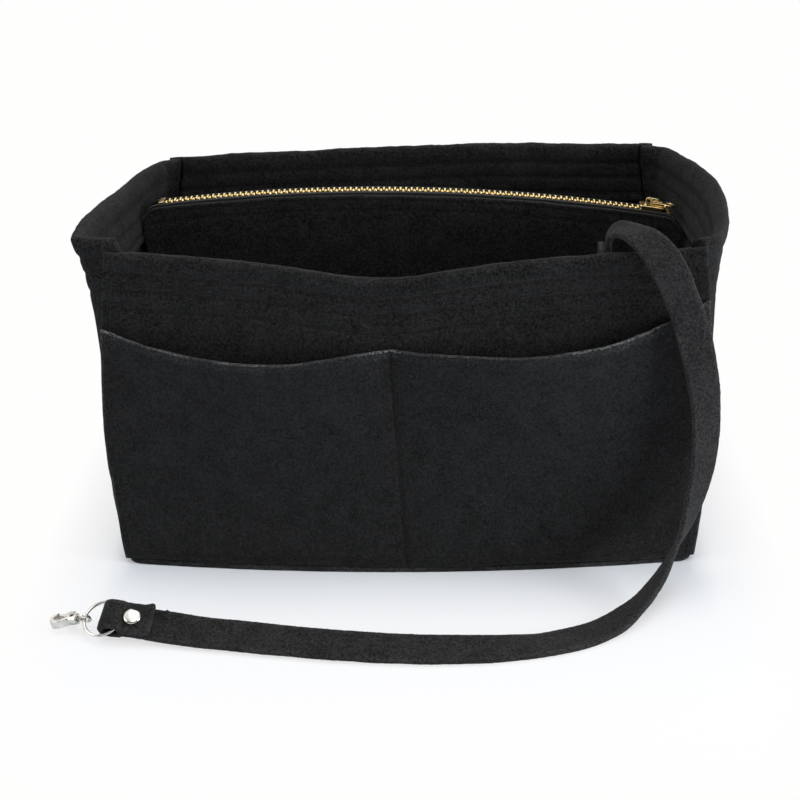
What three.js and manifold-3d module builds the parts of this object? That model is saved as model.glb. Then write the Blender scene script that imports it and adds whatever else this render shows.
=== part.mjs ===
// Felt organiser insert for a handbag, with a zip pouch inside and a key strap over its rim.
// Millimetres. +Z is up, +X is to the right as seen from the front, and the front faces -Y.
// The origin is the middle of the base, on the surface that the bag stands on.

import * as THREE from 'three';
import { mergeVertices } from 'three/addons/utils/BufferGeometryUtils.js';
import Module from 'manifold-3d';

const wasm = await Module();
wasm.setup();

// Bag shell
const bagDepth = 150;            // front to back, over the felt at the corners
const frontWidth = 261;          // front wall at the floor
const wallHeight = 150;          // height at which the shell's swell and taper end
const feltThickness = 2.5;
const hemThickness = 5;          // felt turned over once at the rim
const hemDepth = 29;
const hemInset = 12.5;           // where the front and back hems stop short of a corner
const hemStep = 0.003;           // share of the half width over which the hem ends
const hemLip = 1.2;              // how far below the hem's edge the felt comes out from behind it
const cornerRim = 2.55;          // rim thickness beside the corners, where there is no hem
const baseThickness = 2.5;
const baseEar = 1.2;             // base felt standing out at its corners
const baseEarRun = 6;
const baseMargin = 0.5;          // base felt standing out past the panels
const seamGap = 0.3;
const frontBow = 10.5;           // how far the front wall's middle bows out
const backBow = 3;
const sideSwell = 5.5;           // belly of each end, half way up
const backTaper = 8;             // how much each side is narrower at the back rim
const flangeLength = 6;          // end wall felt turned behind the front and back walls
const leftFlare = 16.3;
const leftFlareStart = 63;       // height where the left end starts to flare
const leftFlareRise = 2.29;      // above 1, it flares mostly near its rim
const leftFlareReach = 0.456;    // below 1, it is widest near the front
const leftFlareRound = 0.523;    // below 1, the flare is fuller
const leftRimLift = 1.9;         // how much higher the left rim is near the front
const rightFlare = 17.5;
const rightFlareStart = 71;
const rightFlareRise = 1.68;
const rightFlareReach = 1.13;    // above 1, it is widest near the front, measured from the back
const rightFlareRound = 0.54;
const rimLiftEnd = 25;           // from there forwards the left rim rises
const rimLiftRun = 70;

// Heights of the rim
const frontRim = 149.8;
const frontRimCrown = 2.8;       // how much lower the front rim lies in the middle
const frontRimDip = 7.3;         // local sag of the front rim
const frontRimDipX = -10;
const frontRimDipWidth = 40;
const leftBackRim = frontRim + 3.7;
const backRimPeak = frontRim + 8.7;
const backRimPeakX = 75;

// Front pocket panel
const pocketThickness = 2;
const pocketSeamX = -5;          // stitched line between the two pockets
const pocketMouth = 11;          // how far each pocket's mouth stands open
const pocketOpenFrom = 35;       // height where the panel starts to leave the wall
const pocketOpenPower = 1.6;     // how late the panel opens on its way up
const rightPocketSkew = 0.8;     // below 1, the right mouth is widest nearer the seam
const pocketSideTop = 115;       // height at which the panel's width is measured

// Top edge of the pocket panel: share of the front wall's half width, and height
const pocketEdge = [
  [-1.0421, 115.5], [-0.8506, 110], [-0.613, 106.2], [-0.4215, 104.8], [-0.0383, 108.4],
  [0.3142, 107.8], [0.5134, 108.6], [0.7126, 112], [0.9502, 122], [1.0421, 127],
];

// Zip pouch
const pouchY = 30;
const pouchFloor = 18;
const pouchBottomGap = 0.3;      // between the two panels where they meet
const pouchTopHalf = 6.1;        // from the chain's middle to a panel's inner face
const pouchStraight = 9;         // depth of the pouch's parallel top
const pouchEndGap = 0.7;
const pouchUnderZip = 0.5;       // from the zip's middle down to the panels' top edge
const pouchNarrowing = 1.3;      // how late the panels close in on their way down
const pouchShoulderDrop = 13;    // depth under the apex at which the pouch's ends are set out
const pouchHemFrom = 100;        // heights between which the ends clear the end walls' hem
const pouchHemTo = 112;
const zipApexX = -25;
const zipApexZ = 147.5;
const zipArcRadius = 900;
const zipLeftRun = frontWidth / 2 + zipApexX - 8;    // from the apex to the left shoulder
const zipRightRun = frontWidth / 2 - zipApexX - 5.5;
const zipShoulderRadius = 7.5;
const zipShoulderRun = 6;        // length of tape that turns down at each end
const tapeThickness = 0.7;
const tapeOuter = 5.8;           // from the chain's middle
const tapeLeg = 5;               // depth sewn to the panel
const chainSlot = 0.6;           // between the two rows of teeth
const chainHalfWidth = 2.8;
const chainThickness = 2;
const toothPitch = 2.7;
const toothLength = 1.4;
const toothReach = 1.5;
const toothRoot = 0.3;           // how far a tooth runs into its bead
const chainLeftGap = 3.5;        // from the shoulders to the ends of the rows
const chainRightGap = 0.6;
const firstTooth = 0.2;
const stopHalfThickness = 1.2;
const stopReach = 4.2;
const stopLength = 2.5;
const topStopInner = 0.8;        // from the chain's middle to a top stop
const topStopGap = 0.8;          // from the right shoulder to the top stops
const bottomStopGap = 0.5;       // from the left shoulder to the bottom stop

// Zip slider and its pull
const sliderLength = 12;
const sliderHalfWidth = 4.3;
const sliderPlate = 1;
const sliderInside = 3.2;        // between the plates
const sliderFlangeGap = 1.3;     // slot that the tape runs through
const sliderPost = 0.4;          // thickness of the post between the plates
const sliderPostStart = 1.4;
const sliderPostEnd = 4.6;
const sliderNose = 0.8;          // broken corners of the plates, on the left and on the right
const sliderShoulder = 1.5;
const joinDepth = 0.2;           // how far one part of a casting runs into another
const sliderRest = 6.4;          // from the right shoulder to the slider's middle
const crownRise = 3.4;
const crownLength = 7;
const crownWidth = 1.6;
const crownBand = 1;
const crownFoot = 0.5;           // how far the crown runs into the top plate
const crownRound = 1.6;          // rounding of its upper corners
const pullBar = 0.6;             // radius of the pull's cross bar
const pullArm = 1;               // width of each arm
const pullArmGap = 0.5;          // from the crown to each arm
const pullBlockGap = 1.1;        // from the crown to the block that joins the arms
const pullRing = 1.5;            // width of the metal round the loop's hole
const pullBarEnd = 0.2;          // how far the bar runs into each arm
const pullRest = 0.3;            // from the slider's plate to the bar
const pullThickness = 1.2;
const pullWidth = 6.6;
const pullLength = 11.4;

// Key strap
const strapWidth = 15;
const strapThickness = 2.5;
const strapChamfer = 0.5;
const layerGap = 0.3;            // between the strap's two layers at a rivet
const strapStepsPerSpan = 2;
const foldSteps = 8;
const foldPress = 3.9;           // from the rivet to where the layers part
const foldRise = 1.7;
const rivetRadius = 3.8;
const rivetShank = 1.3;
const rivetHole = 1.6;
const rivetDome = 1.35;
const rivetBack = 1.1;
const rivetBackEdge = 0.4;       // height of the back's rim, and how far its flat is set in
const rivetBackSet = 0.9;
const rivetSides = 20;
const rivetSeat = 0.45;          // between the rivet's heads and the felt

// Strap route between its two folds: x from the root, y, z of the middle, then the direction of its width
const strapRoute = [
  [1.6, -62.6, 148.5, 0.05, 1, 0],
  [4, -66.5, 154.2, 0.1, 1, -0.05],
  [9.4, -72.8, 156.4, 0.3, 0.93, 0.05],
  [15.8, -80, 154.6, 0.65, 0.7, 0.32],
  [21, -85.5, 149.8, 0.88, 0.25, 0.42],
  [26, -88, 142, 0.95, 0.1, 0.32],
  [31.2, -88.8, 130, 0.97, 0.1, 0.22],
  [35.8, -89, 117, 0.98, 0.15, 0.15],
  [39.8, -88.5, 102, 0.96, 0.25, 0.08],
  [42.8, -88.5, 86, 0.9, 0.42, 0],
  [44, -89, 70, 0.82, 0.57, 0],
  [43, -90.5, 54, 0.76, 0.65, 0],
  [40.2, -93, 40, 0.66, 0.75, 0],
  [35.8, -97, 28, 0.44, 0.88, -0.12],
  [29.5, -103.8, 17.5, 0.15, 0.94, -0.28],
  [23, -112.6, 10.2, -0.08, 0.93, -0.36],
  [16.3, -122, 6.4, -0.2, 0.91, -0.35],
  [9, -131.5, 4.3, -0.4, 0.87, -0.25],
  [0, -141, 2.3, -0.55, 0.83, -0.05],
  [-12, -149.5, 1.8, -0.42, 0.9, 0.04],
  [-28, -157, 2.2, -0.28, 0.95, 0.1],
  [-48, -162, 3.2, -0.15, 0.96, 0.24],
  [-73, -164.2, 4, -0.02, 0.94, 0.33],
  [-98, -163.4, 4.4, 0.05, 0.92, 0.37],
  [-128, -159.8, 4.8, 0.12, 0.9, 0.4],
  [-158, -154.6, 5.2, 0.15, 0.88, 0.44],
  [-178, -151, 5.6, 0.15, 0.87, 0.47],
];

// Strap root, inside the front wall
const rootX = frontWidth / 2 - 42.5;
const rootY = -62;
const rootRivetZ = 138;
const rootTail = 8.5;            // strap left over past the rivet
const linkWire = 0.7;            // radius of the link's wire
const linkCorner = 4;
const linkHeight = 16;
const linkBack = 9;              // how far the link reaches behind the strap's middle
const linkClear = 0.3;
const linkCornerRoom = 1.2;      // room past the link's top bar for its rounded corners
const tabFelt = 2;
const tabSeat = 1.2;             // felt between the link's bar and the wall
const tabCorner = 1;             // broken corners of the tab's nose
const tabHeight = 6;
const tabFoot = 9;               // half the length sewn to the wall

// Strap end on the floor, and what hangs on it
const endMiddle = [rootX - 204, -146.6, 8.4];    // between the strap's layers, at the rivet
const endAlong = [-0.985, 0.13, 0.07];
const endAcross = [0.13, 0.86, 0.5];
const endTail = 8.5;
const endPinch = 0.5;            // how much narrower the end fold is, on each side
const endCavity = 2;             // half the height inside the end fold
const endFoldPast = 0.4;         // from the ring's wire to the middle of the fold's bend
const ringWire = 0.7;            // radius of the wire
const ringRadius = 8.4;          // to the middle of the wire
const ringHingeAlong = 6.4;      // from the rivet to the axis that the ring swings on
const ringHingeArm = 7.5;        // from that axis to the ring's centre
const ringTilt = 12;             // degrees below the strap's plane

// Swivel clasp
const claspTilt = 21;            // degrees below the strap's plane
const eyeInside = 1.6;
const eyeWire = 0.75;
const claspLength = 17;          // from the eye's centre to the tip
const barrelStart = 3.6;
const barrelEnd = 7.6;
const barrelRadius = 2.4;
const barrelLap = 0.6;           // how far the hook and the fork run into the barrel
const barrelWindow = 1.2;        // half the width of the opening over the stem's head
const stemRadius = 0.8;
const stemHead = 1.6;
const stemHeadStart = 5.2;
const stemHeadThickness = 0.8;
const claspClear = 0.3;
const hookHalfWidth = 4.75;
const hookBand = 1.9;            // width of the hook's bar
const hookThickness = 3.4;
const gateBand = 1.7;
const gateThickness = 1.8;
const gateNub = 0.9;             // thumb piece standing out of the gate
const gateNubFrom = 1.6;         // from the pin to the thumb piece's foot
const gateNubTo = 3.6;
const gateNubSlope = 0.5;
const pinRadius = 0.5;
const springRadius = 0.55;
const springWire = 0.15;
const springTurns = 4;
const springInset = 0.3;         // how far the spring stands behind the pin
const springEndGap = 0.3;        // from the spring's ends to what they press on
const forkPast = 1;              // how far the fork reaches past the pin
const gatePinSet = 1.2;          // from the barrel's end to the pin
const gatePinRise = 1.35;        // from the hook's side to the pin
const gateTipShort = 2.5;        // from the hook's tip to the gate's tip
const springSeatY = -0.7;        // bottom of the fork's slot, where the spring stands
const hookMouthY = -1.2;         // edge of the hook's open side
const forkRootY = -0.2;

// Colours
const felt = new THREE.MeshStandardMaterial({ color: 0x1f2022, roughness: 0.97, metalness: 0 });
const strapFelt = new THREE.MeshStandardMaterial({ color: 0x27282a, roughness: 0.97, metalness: 0 });
const zipTape = new THREE.MeshStandardMaterial({ color: 0x121213, roughness: 0.9, metalness: 0 });
const gold = new THREE.MeshStandardMaterial({ color: 0xcfb57a, roughness: 0.3, metalness: 1 });
const nickel = new THREE.MeshStandardMaterial({ color: 0xc9cac8, roughness: 0.22, metalness: 1 });

const group = new THREE.Group();
group.name = 'felt_organiser_insert';

function addMesh(name, geometry, material, parent = group) {
  const mesh = new THREE.Mesh(geometry, material);
  mesh.name = name;
  parent.add(mesh);
  return mesh;
}

function mix(a, b, share) {
  return a + (b - a) * share;
}

// An indexed geometry, turned inside out if its faces point inwards
function closedGeometry(points, faces) {
  let volume = 0;
  for (const [a, b, c] of faces) {
    volume += points[a].dot(points[b].clone().cross(points[c]));
  }
  const index = faces.flatMap(([a, b, c]) => (volume > 0 ? [a, b, c] : [a, c, b]));
  const geometry = new THREE.BufferGeometry();
  geometry.setAttribute('position', new THREE.Float32BufferAttribute(points.flatMap((p) => p.toArray()), 3));
  geometry.setIndex(index);
  return geometry;
}

// Faces across a ring: a ladder between its two long sides, or the flat outline's own triangles
function capFaces(outline, split) {
  if (!split) {
    const flat = outline.map(([u, v]) => new THREE.Vector2(u, v));
    const clockwise = THREE.ShapeUtils.isClockWise(flat);
    const triangles = THREE.ShapeUtils.triangulateShape(flat, []);
    return triangles.map(([a, b, c]) => (clockwise ? [a, b, c] : [a, c, b]));
  }
  const faces = [];
  let near = 0;
  let far = outline.length - 1;
  while (near < split - 1 || far > split) {
    const nearNext = near < split - 1 ? outline[near + 1][1] : Infinity;
    const farNext = far > split ? outline[far - 1][1] : Infinity;
    if (nearNext <= farNext) {
      faces.push([near + 1, near, far]);
      near += 1;
    } else {
      faces.push([far, far - 1, near]);
      far -= 1;
    }
  }
  return faces;
}

// A closed body through rings of points that all follow one outline; split says where the outline's
// second long side starts, for rings that aren't flat
function loft(outline, rings, split = 0) {
  const count = outline.length;
  const points = rings.flat();
  const faces = [];
  for (let ring = 0; ring + 1 < rings.length; ring += 1) {
    for (let i = 0; i < count; i += 1) {
      const a = ring * count + i;
      const b = ring * count + ((i + 1) % count);
      faces.push([a, b, b + count], [a, b + count, a + count]);
    }
  }
  const last = (rings.length - 1) * count;
  for (const [a, b, c] of capFaces(outline, split)) {
    faces.push([a, b, c]);
    faces.push([last + a, last + c, last + b]);
  }
  return closedGeometry(points, faces);
}

function toSolid(geometry) {
  const plain = geometry.clone();
  plain.deleteAttribute('normal');
  plain.deleteAttribute('uv');
  const merged = mergeVertices(plain, 1e-4);
  return new wasm.Manifold(new wasm.Mesh({
    numProp: 3,
    vertProperties: new Float32Array(merged.attributes.position.array),
    triVerts: new Uint32Array(merged.index.array),
  }));
}

function toGeometry(solid) {
  const mesh = solid.getMesh();
  const geometry = new THREE.BufferGeometry();
  geometry.setAttribute('position', new THREE.Float32BufferAttribute(mesh.vertProperties, 3));
  geometry.setIndex(Array.from(mesh.triVerts));
  return geometry;
}

// A flat shape pushed out along Z
function extrude(shape, depth, curveSegments = 12) {
  return new THREE.ExtrudeGeometry(shape, { depth, bevelEnabled: false, curveSegments });
}

// Box between two corners
function box(x0, x1, y0, y1, z0, z1) {
  const geometry = new THREE.BoxGeometry(x1 - x0, y1 - y0, z1 - z0);
  return geometry.translate((x0 + x1) / 2, (y0 + y1) / 2, (z0 + z1) / 2);
}

// Cylinder along X from x0 to x1
function rod(radius, x0, x1, sides = 16) {
  const geometry = new THREE.CylinderGeometry(radius, radius, x1 - x0, sides);
  return geometry.rotateZ(Math.PI / 2).translate((x0 + x1) / 2, 0, 0);
}

// Half the shell's width at depth y and height z, over the felt
function halfWidth(y, z) {
  const rise = Math.min(z / wallHeight, 1);
  const back = (y + bagDepth / 2) / bagDepth;
  return frontWidth / 2 + sideSwell * Math.sin(Math.PI * rise ** 0.9) - backTaper * back * rise;
}

// How far an end wall flares out; both are widest in front of the middle
function endFlare(side, y, z) {
  const left = side < 0;
  const inner = bagDepth / 2 - feltThickness - seamGap;
  const share = THREE.MathUtils.clamp((left ? y + inner : inner - y) / (2 * inner), 0, 1);
  const reach = left ? leftFlareReach : rightFlareReach;
  const round = Math.max(Math.sin(Math.PI * share ** reach), 0) ** (left ? leftFlareRound : rightFlareRound);
  const start = left ? leftFlareStart : rightFlareStart;
  const rise = Math.max(z - start, 0) / (wallHeight - start);
  return (left ? leftFlare : rightFlare) * round * rise ** (left ? leftFlareRise : rightFlareRise);
}

function frontRimAt(x) {
  const across = x / (frontWidth / 2);
  const dip = Math.exp(-(((x - frontRimDipX) / frontRimDipWidth) ** 2));
  return frontRim - frontRimCrown * Math.max(1 - across ** 2, 0) - frontRimDip * dip;
}

function backRimAt(x) {
  const leftCorner = -(frontWidth / 2 - backTaper);
  const share = (x - backRimPeakX) / (leftCorner - backRimPeakX);
  return backRimPeak - (backRimPeak - leftBackRim) * share ** 2;
}

function endRimAt(side, y) {
  const back = (y + bagDepth / 2) / bagDepth;
  const near = THREE.MathUtils.clamp((rimLiftEnd - y) / rimLiftRun, 0, 1);
  const lift = side < 0 ? leftRimLift * Math.sin((Math.PI / 2) * near) ** 2 : 0;
  return mix(frontRim, backRimAt(side * (frontWidth / 2 - backTaper)), back) + lift;
}

// Points of a wall section up to the middle of its rounded rim
const wallSplit = 10;

// Section of a shell wall: distance in from its outer face, and height
function wallSection(rim, rimThickness) {
  const bottom = baseThickness + seamGap;
  const round = rimThickness / 2;
  const hemBottom = rim - hemDepth;
  const heights = [0, 0.16, 0.36, 0.58, 0.8, 1].map((share) => mix(bottom, hemBottom, share));
  const section = heights.map((z) => [0, z]);
  section.push([0, rim - hemDepth / 2], [0, rim - round]);
  for (let step = 1; step < 5; step += 1) {
    const turn = (Math.PI * step) / 5;
    section.push([round - round * Math.cos(turn), rim - round + round * Math.sin(turn)]);
  }
  section.push([rimThickness, rim - round], [rimThickness, rim - hemDepth / 2], [rimThickness, hemBottom]);
  for (const z of heights.toReversed()) {
    section.push([feltThickness, z - (z === hemBottom ? hemLip : 0)]);
  }
  return section;
}

// Front or back wall: stations across it, with the hem only between the corners
function makeLongWall(side) {
  const bow = side < 0 ? frontBow : backBow;
  const half = halfWidth((side * bagDepth) / 2, wallHeight);
  const hemEnd = (half - hemInset) / half;
  const inner = [];
  for (let step = -9; step <= 9; step += 1) {
    inner.push((hemEnd * step) / 9);
  }
  const cornerShares = [hemEnd + hemStep, (hemEnd + 1) / 2, 1];
  const shares = [...cornerShares.map((share) => -share).toReversed(), ...inner, ...cornerShares];
  const rings = shares.map((share) => {
    const x = share * half;
    const rim = side < 0 ? frontRimAt(x) : backRimAt(x);
    const thickness = Math.abs(share) > hemEnd + hemStep / 2 ? cornerRim : hemThickness;
    return wallSection(rim, thickness).map(([t, z]) => {
      const face = bagDepth / 2 + bow * (1 - share ** 2);
      return new THREE.Vector3(share * halfWidth((side * bagDepth) / 2, z), side * (face - t), z);
    });
  });
  return loft(wallSection(frontRim, hemThickness), rings, wallSplit);
}

// Outer line of an end wall at one height, from its front flange round to its back flange
function endLine(side, z, depths) {
  const edge = bagDepth / 2 - feltThickness - seamGap;
  const front = halfWidth(-edge, z);
  const back = halfWidth(edge, z);
  const along = depths.map((y) => [side * (halfWidth(y, z) + endFlare(side, y, z)), y]);
  return [
    [side * (front - flangeLength), -edge],
    [side * front, -edge],
    ...along,
    [side * back, edge],
    [side * (back - flangeLength), edge],
  ];
}

// Inward direction at a point of a plan line, lengthened at corners so that the felt keeps its thickness
function mitre(line, at, side) {
  const before = line[Math.max(at - 1, 0)];
  const here = line[at];
  const after = line[Math.min(at + 1, line.length - 1)];
  const normals = [];
  for (const [a, b] of [[before, here], [here, after]]) {
    const run = new THREE.Vector2(b[0] - a[0], b[1] - a[1]);
    if (run.length() > 1e-6) {
      run.normalize();
      normals.push(new THREE.Vector2(-run.y * side, run.x * side));
    }
  }
  const sum = normals.reduce((total, normal) => total.add(normal), new THREE.Vector2()).normalize();
  return sum.divideScalar(Math.max(sum.dot(normals.at(-1)), 0.6));
}

function makeEndWall(side) {
  const stations = [0.92, 1 - (7 * feltThickness) / bagDepth, 0.813, 0.693, 0.547, 0.413, 0.28, 0.133, 0];
  const depths = stations.map((share) => (-share * bagDepth) / 2);
  depths.push(...depths.slice(0, -1).toReversed().map((y) => -y));
  const stationCount = depths.length + 4;
  const rings = [];
  for (let at = 0; at < stationCount; at += 1) {
    const y = depths[THREE.MathUtils.clamp(at - 2, 0, depths.length - 1)];
    const hemmed = at > 2 && at < stationCount - 3;
    const section = wallSection(endRimAt(side, y), hemmed ? hemThickness : cornerRim);
    rings.push(section.map(([t, z]) => {
      const line = endLine(side, z, depths);
      const inward = mitre(line, at, side);
      return new THREE.Vector3(line[at][0] + inward.x * t, line[at][1] + inward.y * t, z);
    }));
  }
  return loft(wallSection(frontRim, hemThickness), rings, wallSplit);
}

function makeBasePanel() {
  const half = frontWidth / 2;
  const front = bagDepth / 2 + seamGap + pocketThickness + baseMargin;
  const back = bagDepth / 2 + baseMargin;
  const corner = [half + baseEar, front + baseEar / 2];
  const shape = new THREE.Shape();
  shape.moveTo(-corner[0], -corner[1]);
  for (let step = 1; step < 16; step += 1) {
    const share = -1 + step / 8;
    shape.lineTo(share * half, -front - frontBow * (1 - share ** 2));
  }
  shape.lineTo(corner[0], -corner[1]);
  shape.lineTo(half + baseEar, -corner[1] + baseEarRun);
  shape.lineTo(half, -corner[1] + 2 * baseEarRun);
  shape.lineTo(half, back);
  for (let step = 1; step < 8; step += 1) {
    const share = 1 - step / 4;
    shape.lineTo(share * half, back + backBow * (1 - share ** 2));
  }
  shape.lineTo(-half, back);
  shape.lineTo(-half, -corner[1] + 2 * baseEarRun);
  shape.lineTo(-half - baseEar, -corner[1] + baseEarRun);
  return extrude(shape, baseThickness);
}

// How far a pocket's mouth stands off the front wall, from the share of the panel's half width
function mouthAt(x, half) {
  const left = x < pocketSeamX;
  const share = left ? (x + half) / (pocketSeamX + half) : (x - pocketSeamX) / (half - pocketSeamX);
  return pocketMouth * Math.sin(Math.PI * share ** (left ? 1 : rightPocketSkew));
}

function makePocketPanel() {
  const edge = new THREE.SplineCurve(pocketEdge.map(([share, z]) => (
    new THREE.Vector2((share * frontWidth) / 2, z)
  ))).getPoints(120);
  const half = halfWidth(-bagDepth / 2, pocketSideTop);
  const seam = pocketSeamX / half;
  const shares = [];
  for (let step = 0; step < 12; step += 1) {
    shares.push(mix(-1, seam, step / 12));
  }
  for (let step = 0; step <= 12; step += 1) {
    shares.push(mix(seam, 1, step / 12));
  }
  const bottom = baseThickness + seamGap;
  const rises = [0, 0.2, 0.35, 0.5, 0.65, 0.8, 0.92, 1];
  const outline = [...rises.map((rise) => [0, rise]), ...rises.toReversed().map((rise) => [1, rise])];
  const rings = shares.map((share) => {
    const x = share * half;
    const next = edge.findIndex((point) => point.x >= x);
    const from = edge[Math.max(next - 1, 0)];
    const top = mix(from.y, edge[next].y, (x - from.x) / Math.max(edge[next].x - from.x, 1e-6));
    return outline.map(([depth, rise]) => {
      const z = mix(bottom, top, rise);
      const open = Math.max((z - pocketOpenFrom) / (top - pocketOpenFrom), 0) ** pocketOpenPower;
      const face = bagDepth / 2 + frontBow * (1 - share ** 2) + seamGap + mouthAt(x, half) * open;
      const y = -face - pocketThickness * (1 - depth);
      return new THREE.Vector3(share * halfWidth(-bagDepth / 2, z), y, z);
    });
  });
  return loft(outline, rings, rises.length);
}

// The zip's line: place and heading at a distance from its highest point, positive to the right
function zipFrame(distance) {
  const side = Math.sign(distance) || 1;
  const run = side > 0 ? zipRightRun : zipLeftRun;
  const turn = Math.min(Math.abs(distance), run) / zipArcRadius;
  const extra = Math.max(Math.abs(distance) - run, 0) / zipShoulderRadius;
  const shoulder = zipShoulderRadius * (Math.sin(turn + extra) - Math.sin(turn));
  const across = zipArcRadius * Math.sin(turn) + shoulder;
  const shoulderDrop = zipShoulderRadius * (Math.cos(turn) - Math.cos(turn + extra));
  const drop = zipArcRadius * (1 - Math.cos(turn)) + shoulderDrop;
  return { x: zipApexX + side * across, z: zipApexZ - drop, heading: side * (turn + extra) };
}

function zipPoint(distance, across, up) {
  const frame = zipFrame(distance);
  return new THREE.Vector3(
    frame.x + up * Math.sin(frame.heading),
    pouchY + across,
    frame.z + up * Math.cos(frame.heading),
  );
}

function sweepZip(section, distances) {
  return loft(section, distances.map((d) => section.map(([across, up]) => zipPoint(d, across, up))));
}

// Distances from a to b in equal steps
function spread(from, to, steps) {
  return Array.from({ length: steps + 1 }, (unused, step) => mix(from, to, step / steps));
}

function zipLineDistances() {
  const left = spread(-zipLeftRun - zipShoulderRun, -zipLeftRun, 5);
  const middle = spread(-zipLeftRun, zipRightRun, 16).slice(1, -1);
  return [...left, ...middle, ...spread(zipRightRun, zipRightRun + zipShoulderRun, 5)];
}

// Height of the zip's line over a given x, used by the pouch's top edge
function zipHeight(x) {
  const side = x < zipApexX ? -1 : 1;
  let near = 0;
  let far = (side > 0 ? zipRightRun : zipLeftRun) + zipShoulderRun;
  for (let round = 0; round < 30; round += 1) {
    const middle = (near + far) / 2;
    if (side * (zipFrame(side * middle).x - x) < 0) {
      near = middle;
    } else {
      far = middle;
    }
  }
  return zipFrame(side * far).z;
}

// Inner face of an end wall, with the pouch's clearance
function pouchEnd(side, y, z) {
  const hemShare = THREE.MathUtils.clamp((z - pouchHemFrom) / (pouchHemTo - pouchHemFrom), 0, 1);
  const thickness = mix(feltThickness, hemThickness, hemShare);
  return side * (halfWidth(y, z) + endFlare(side, y, z) - thickness - pouchEndGap);
}

function makePouchPanel(side) {
  const outline = [];
  const depthShares = [0.2, 0.4, 0.6, 0.8, 1];
  const inner = [[0, 0], [0, pouchStraight], ...depthShares.map((share) => [0, share])];
  const outer = inner.map(([, depth]) => [1, depth]).toReversed();
  for (const [layer, depth] of [...inner, ...outer]) {
    outline.push([layer, depth]);
  }
  const flat = outline.map(([layer, depth], at) => [layer, at < inner.length ? at : outline.length - 1 - at]);
  const shoulderZ = zipApexZ - pouchShoulderDrop;
  const rings = spread(0, 1, 24).map((share) => {
    const x0 = mix(pouchEnd(-1, pouchY, shoulderZ), pouchEnd(1, pouchY, shoulderZ), share);
    const top = zipHeight(x0) - pouchUnderZip;
    return outline.map(([layer, depth]) => {
      const drop = depth > 1 ? depth : mix(0, top - pouchFloor, depth);
      const z = top - drop;
      const fall = Math.max(drop - pouchStraight, 0) / (top - pouchStraight - pouchFloor);
      const across = mix(pouchTopHalf, pouchBottomGap / 2, fall ** pouchNarrowing) + layer * feltThickness;
      const y = pouchY + side * across;
      const x = mix(pouchEnd(-1, y, z), pouchEnd(1, y, z), share);
      return new THREE.Vector3(x, y, Math.min(z, zipHeight(x) - pouchUnderZip));
    });
  });
  return loft(flat, rings, inner.length);
}

function makeTape(side) {
  const half = tapeThickness / 2;
  const inner = chainHalfWidth + seamGap;
  const section = [
    [inner, half], [tapeOuter, half], [tapeOuter, -tapeLeg],
    [tapeOuter - tapeThickness, -tapeLeg], [tapeOuter - tapeThickness, -half], [inner, -half],
  ].map(([across, up]) => [side * across, up]);
  return sweepZip(section, zipLineDistances());
}

// One row of teeth on its bead
function makeChainRow(side, first) {
  const from = -zipLeftRun + chainLeftGap;
  const to = zipRightRun - chainRightGap;
  const half = chainThickness / 2;
  const root = chainSlot / 2 + toothReach;
  const section = [[root, half], [chainHalfWidth, half], [chainHalfWidth, -half], [root, -half]];
  const bead = sweepZip(section.map(([across, up]) => [side * across, up]), spread(from, to, 24));
  const solids = [toSolid(bead)];
  for (let at = from + first; at + toothLength < to; at += toothPitch) {
    const frame = zipFrame(at + toothLength / 2);
    const middle = side * (chainSlot / 2 + (toothReach + toothRoot) / 2);
    const tooth = new THREE.BoxGeometry(toothLength, toothReach + toothRoot, chainThickness);
    tooth.translate(0, middle, 0).rotateY(frame.heading).translate(frame.x, pouchY, frame.z);
    solids.push(toSolid(tooth));
  }
  return toGeometry(wasm.Manifold.union(solids));
}

function makeTopStop(side) {
  const slot = tapeThickness / 2 + seamGap;
  const section = [
    [topStopInner, stopHalfThickness], [stopReach, stopHalfThickness],
    [stopReach, slot], [chainHalfWidth, slot], [chainHalfWidth, -slot], [stopReach, -slot],
    [stopReach, -stopHalfThickness], [topStopInner, -stopHalfThickness],
  ].map(([across, up]) => [side * across, up]);
  const start = zipRightRun + topStopGap;
  return sweepZip(section, spread(start, start + stopLength, 3));
}

function makeBottomStop() {
  const slot = tapeThickness / 2 + seamGap;
  const right = [
    [stopReach, stopHalfThickness], [stopReach, slot], [chainHalfWidth, slot],
    [chainHalfWidth, -slot], [stopReach, -slot], [stopReach, -stopHalfThickness],
  ];
  const left = right.toReversed().map(([across, up]) => [-across, up]);
  const start = -zipLeftRun + bottomStopGap;
  return sweepZip([...right, ...left], spread(start, start + stopLength, 1));
}

// Crown over the slider: a band from plate to plate that the pull's bar passes under
function makeCrown() {
  const base = sliderInside / 2 + sliderPlate;
  const half = crownLength / 2;
  const outer = new THREE.Shape();
  outer.moveTo(-half, base - crownFoot);
  outer.lineTo(half, base - crownFoot);
  outer.lineTo(half, base + crownRise - crownRound);
  outer.quadraticCurveTo(half, base + crownRise, half - crownRound, base + crownRise);
  outer.lineTo(-half + crownRound, base + crownRise);
  outer.quadraticCurveTo(-half, base + crownRise, -half, base + crownRise - crownRound);
  const hole = new THREE.Path();
  hole.moveTo(-half + crownBand, base);
  hole.lineTo(-half + crownBand, base + crownRise - crownBand);
  hole.lineTo(half - crownBand, base + crownRise - crownBand);
  hole.lineTo(half - crownBand, base);
  outer.holes.push(hole);
  const geometry = extrude(outer, crownWidth, 3);
  return geometry.rotateX(Math.PI / 2).translate(0, crownWidth / 2, 0);
}

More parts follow.
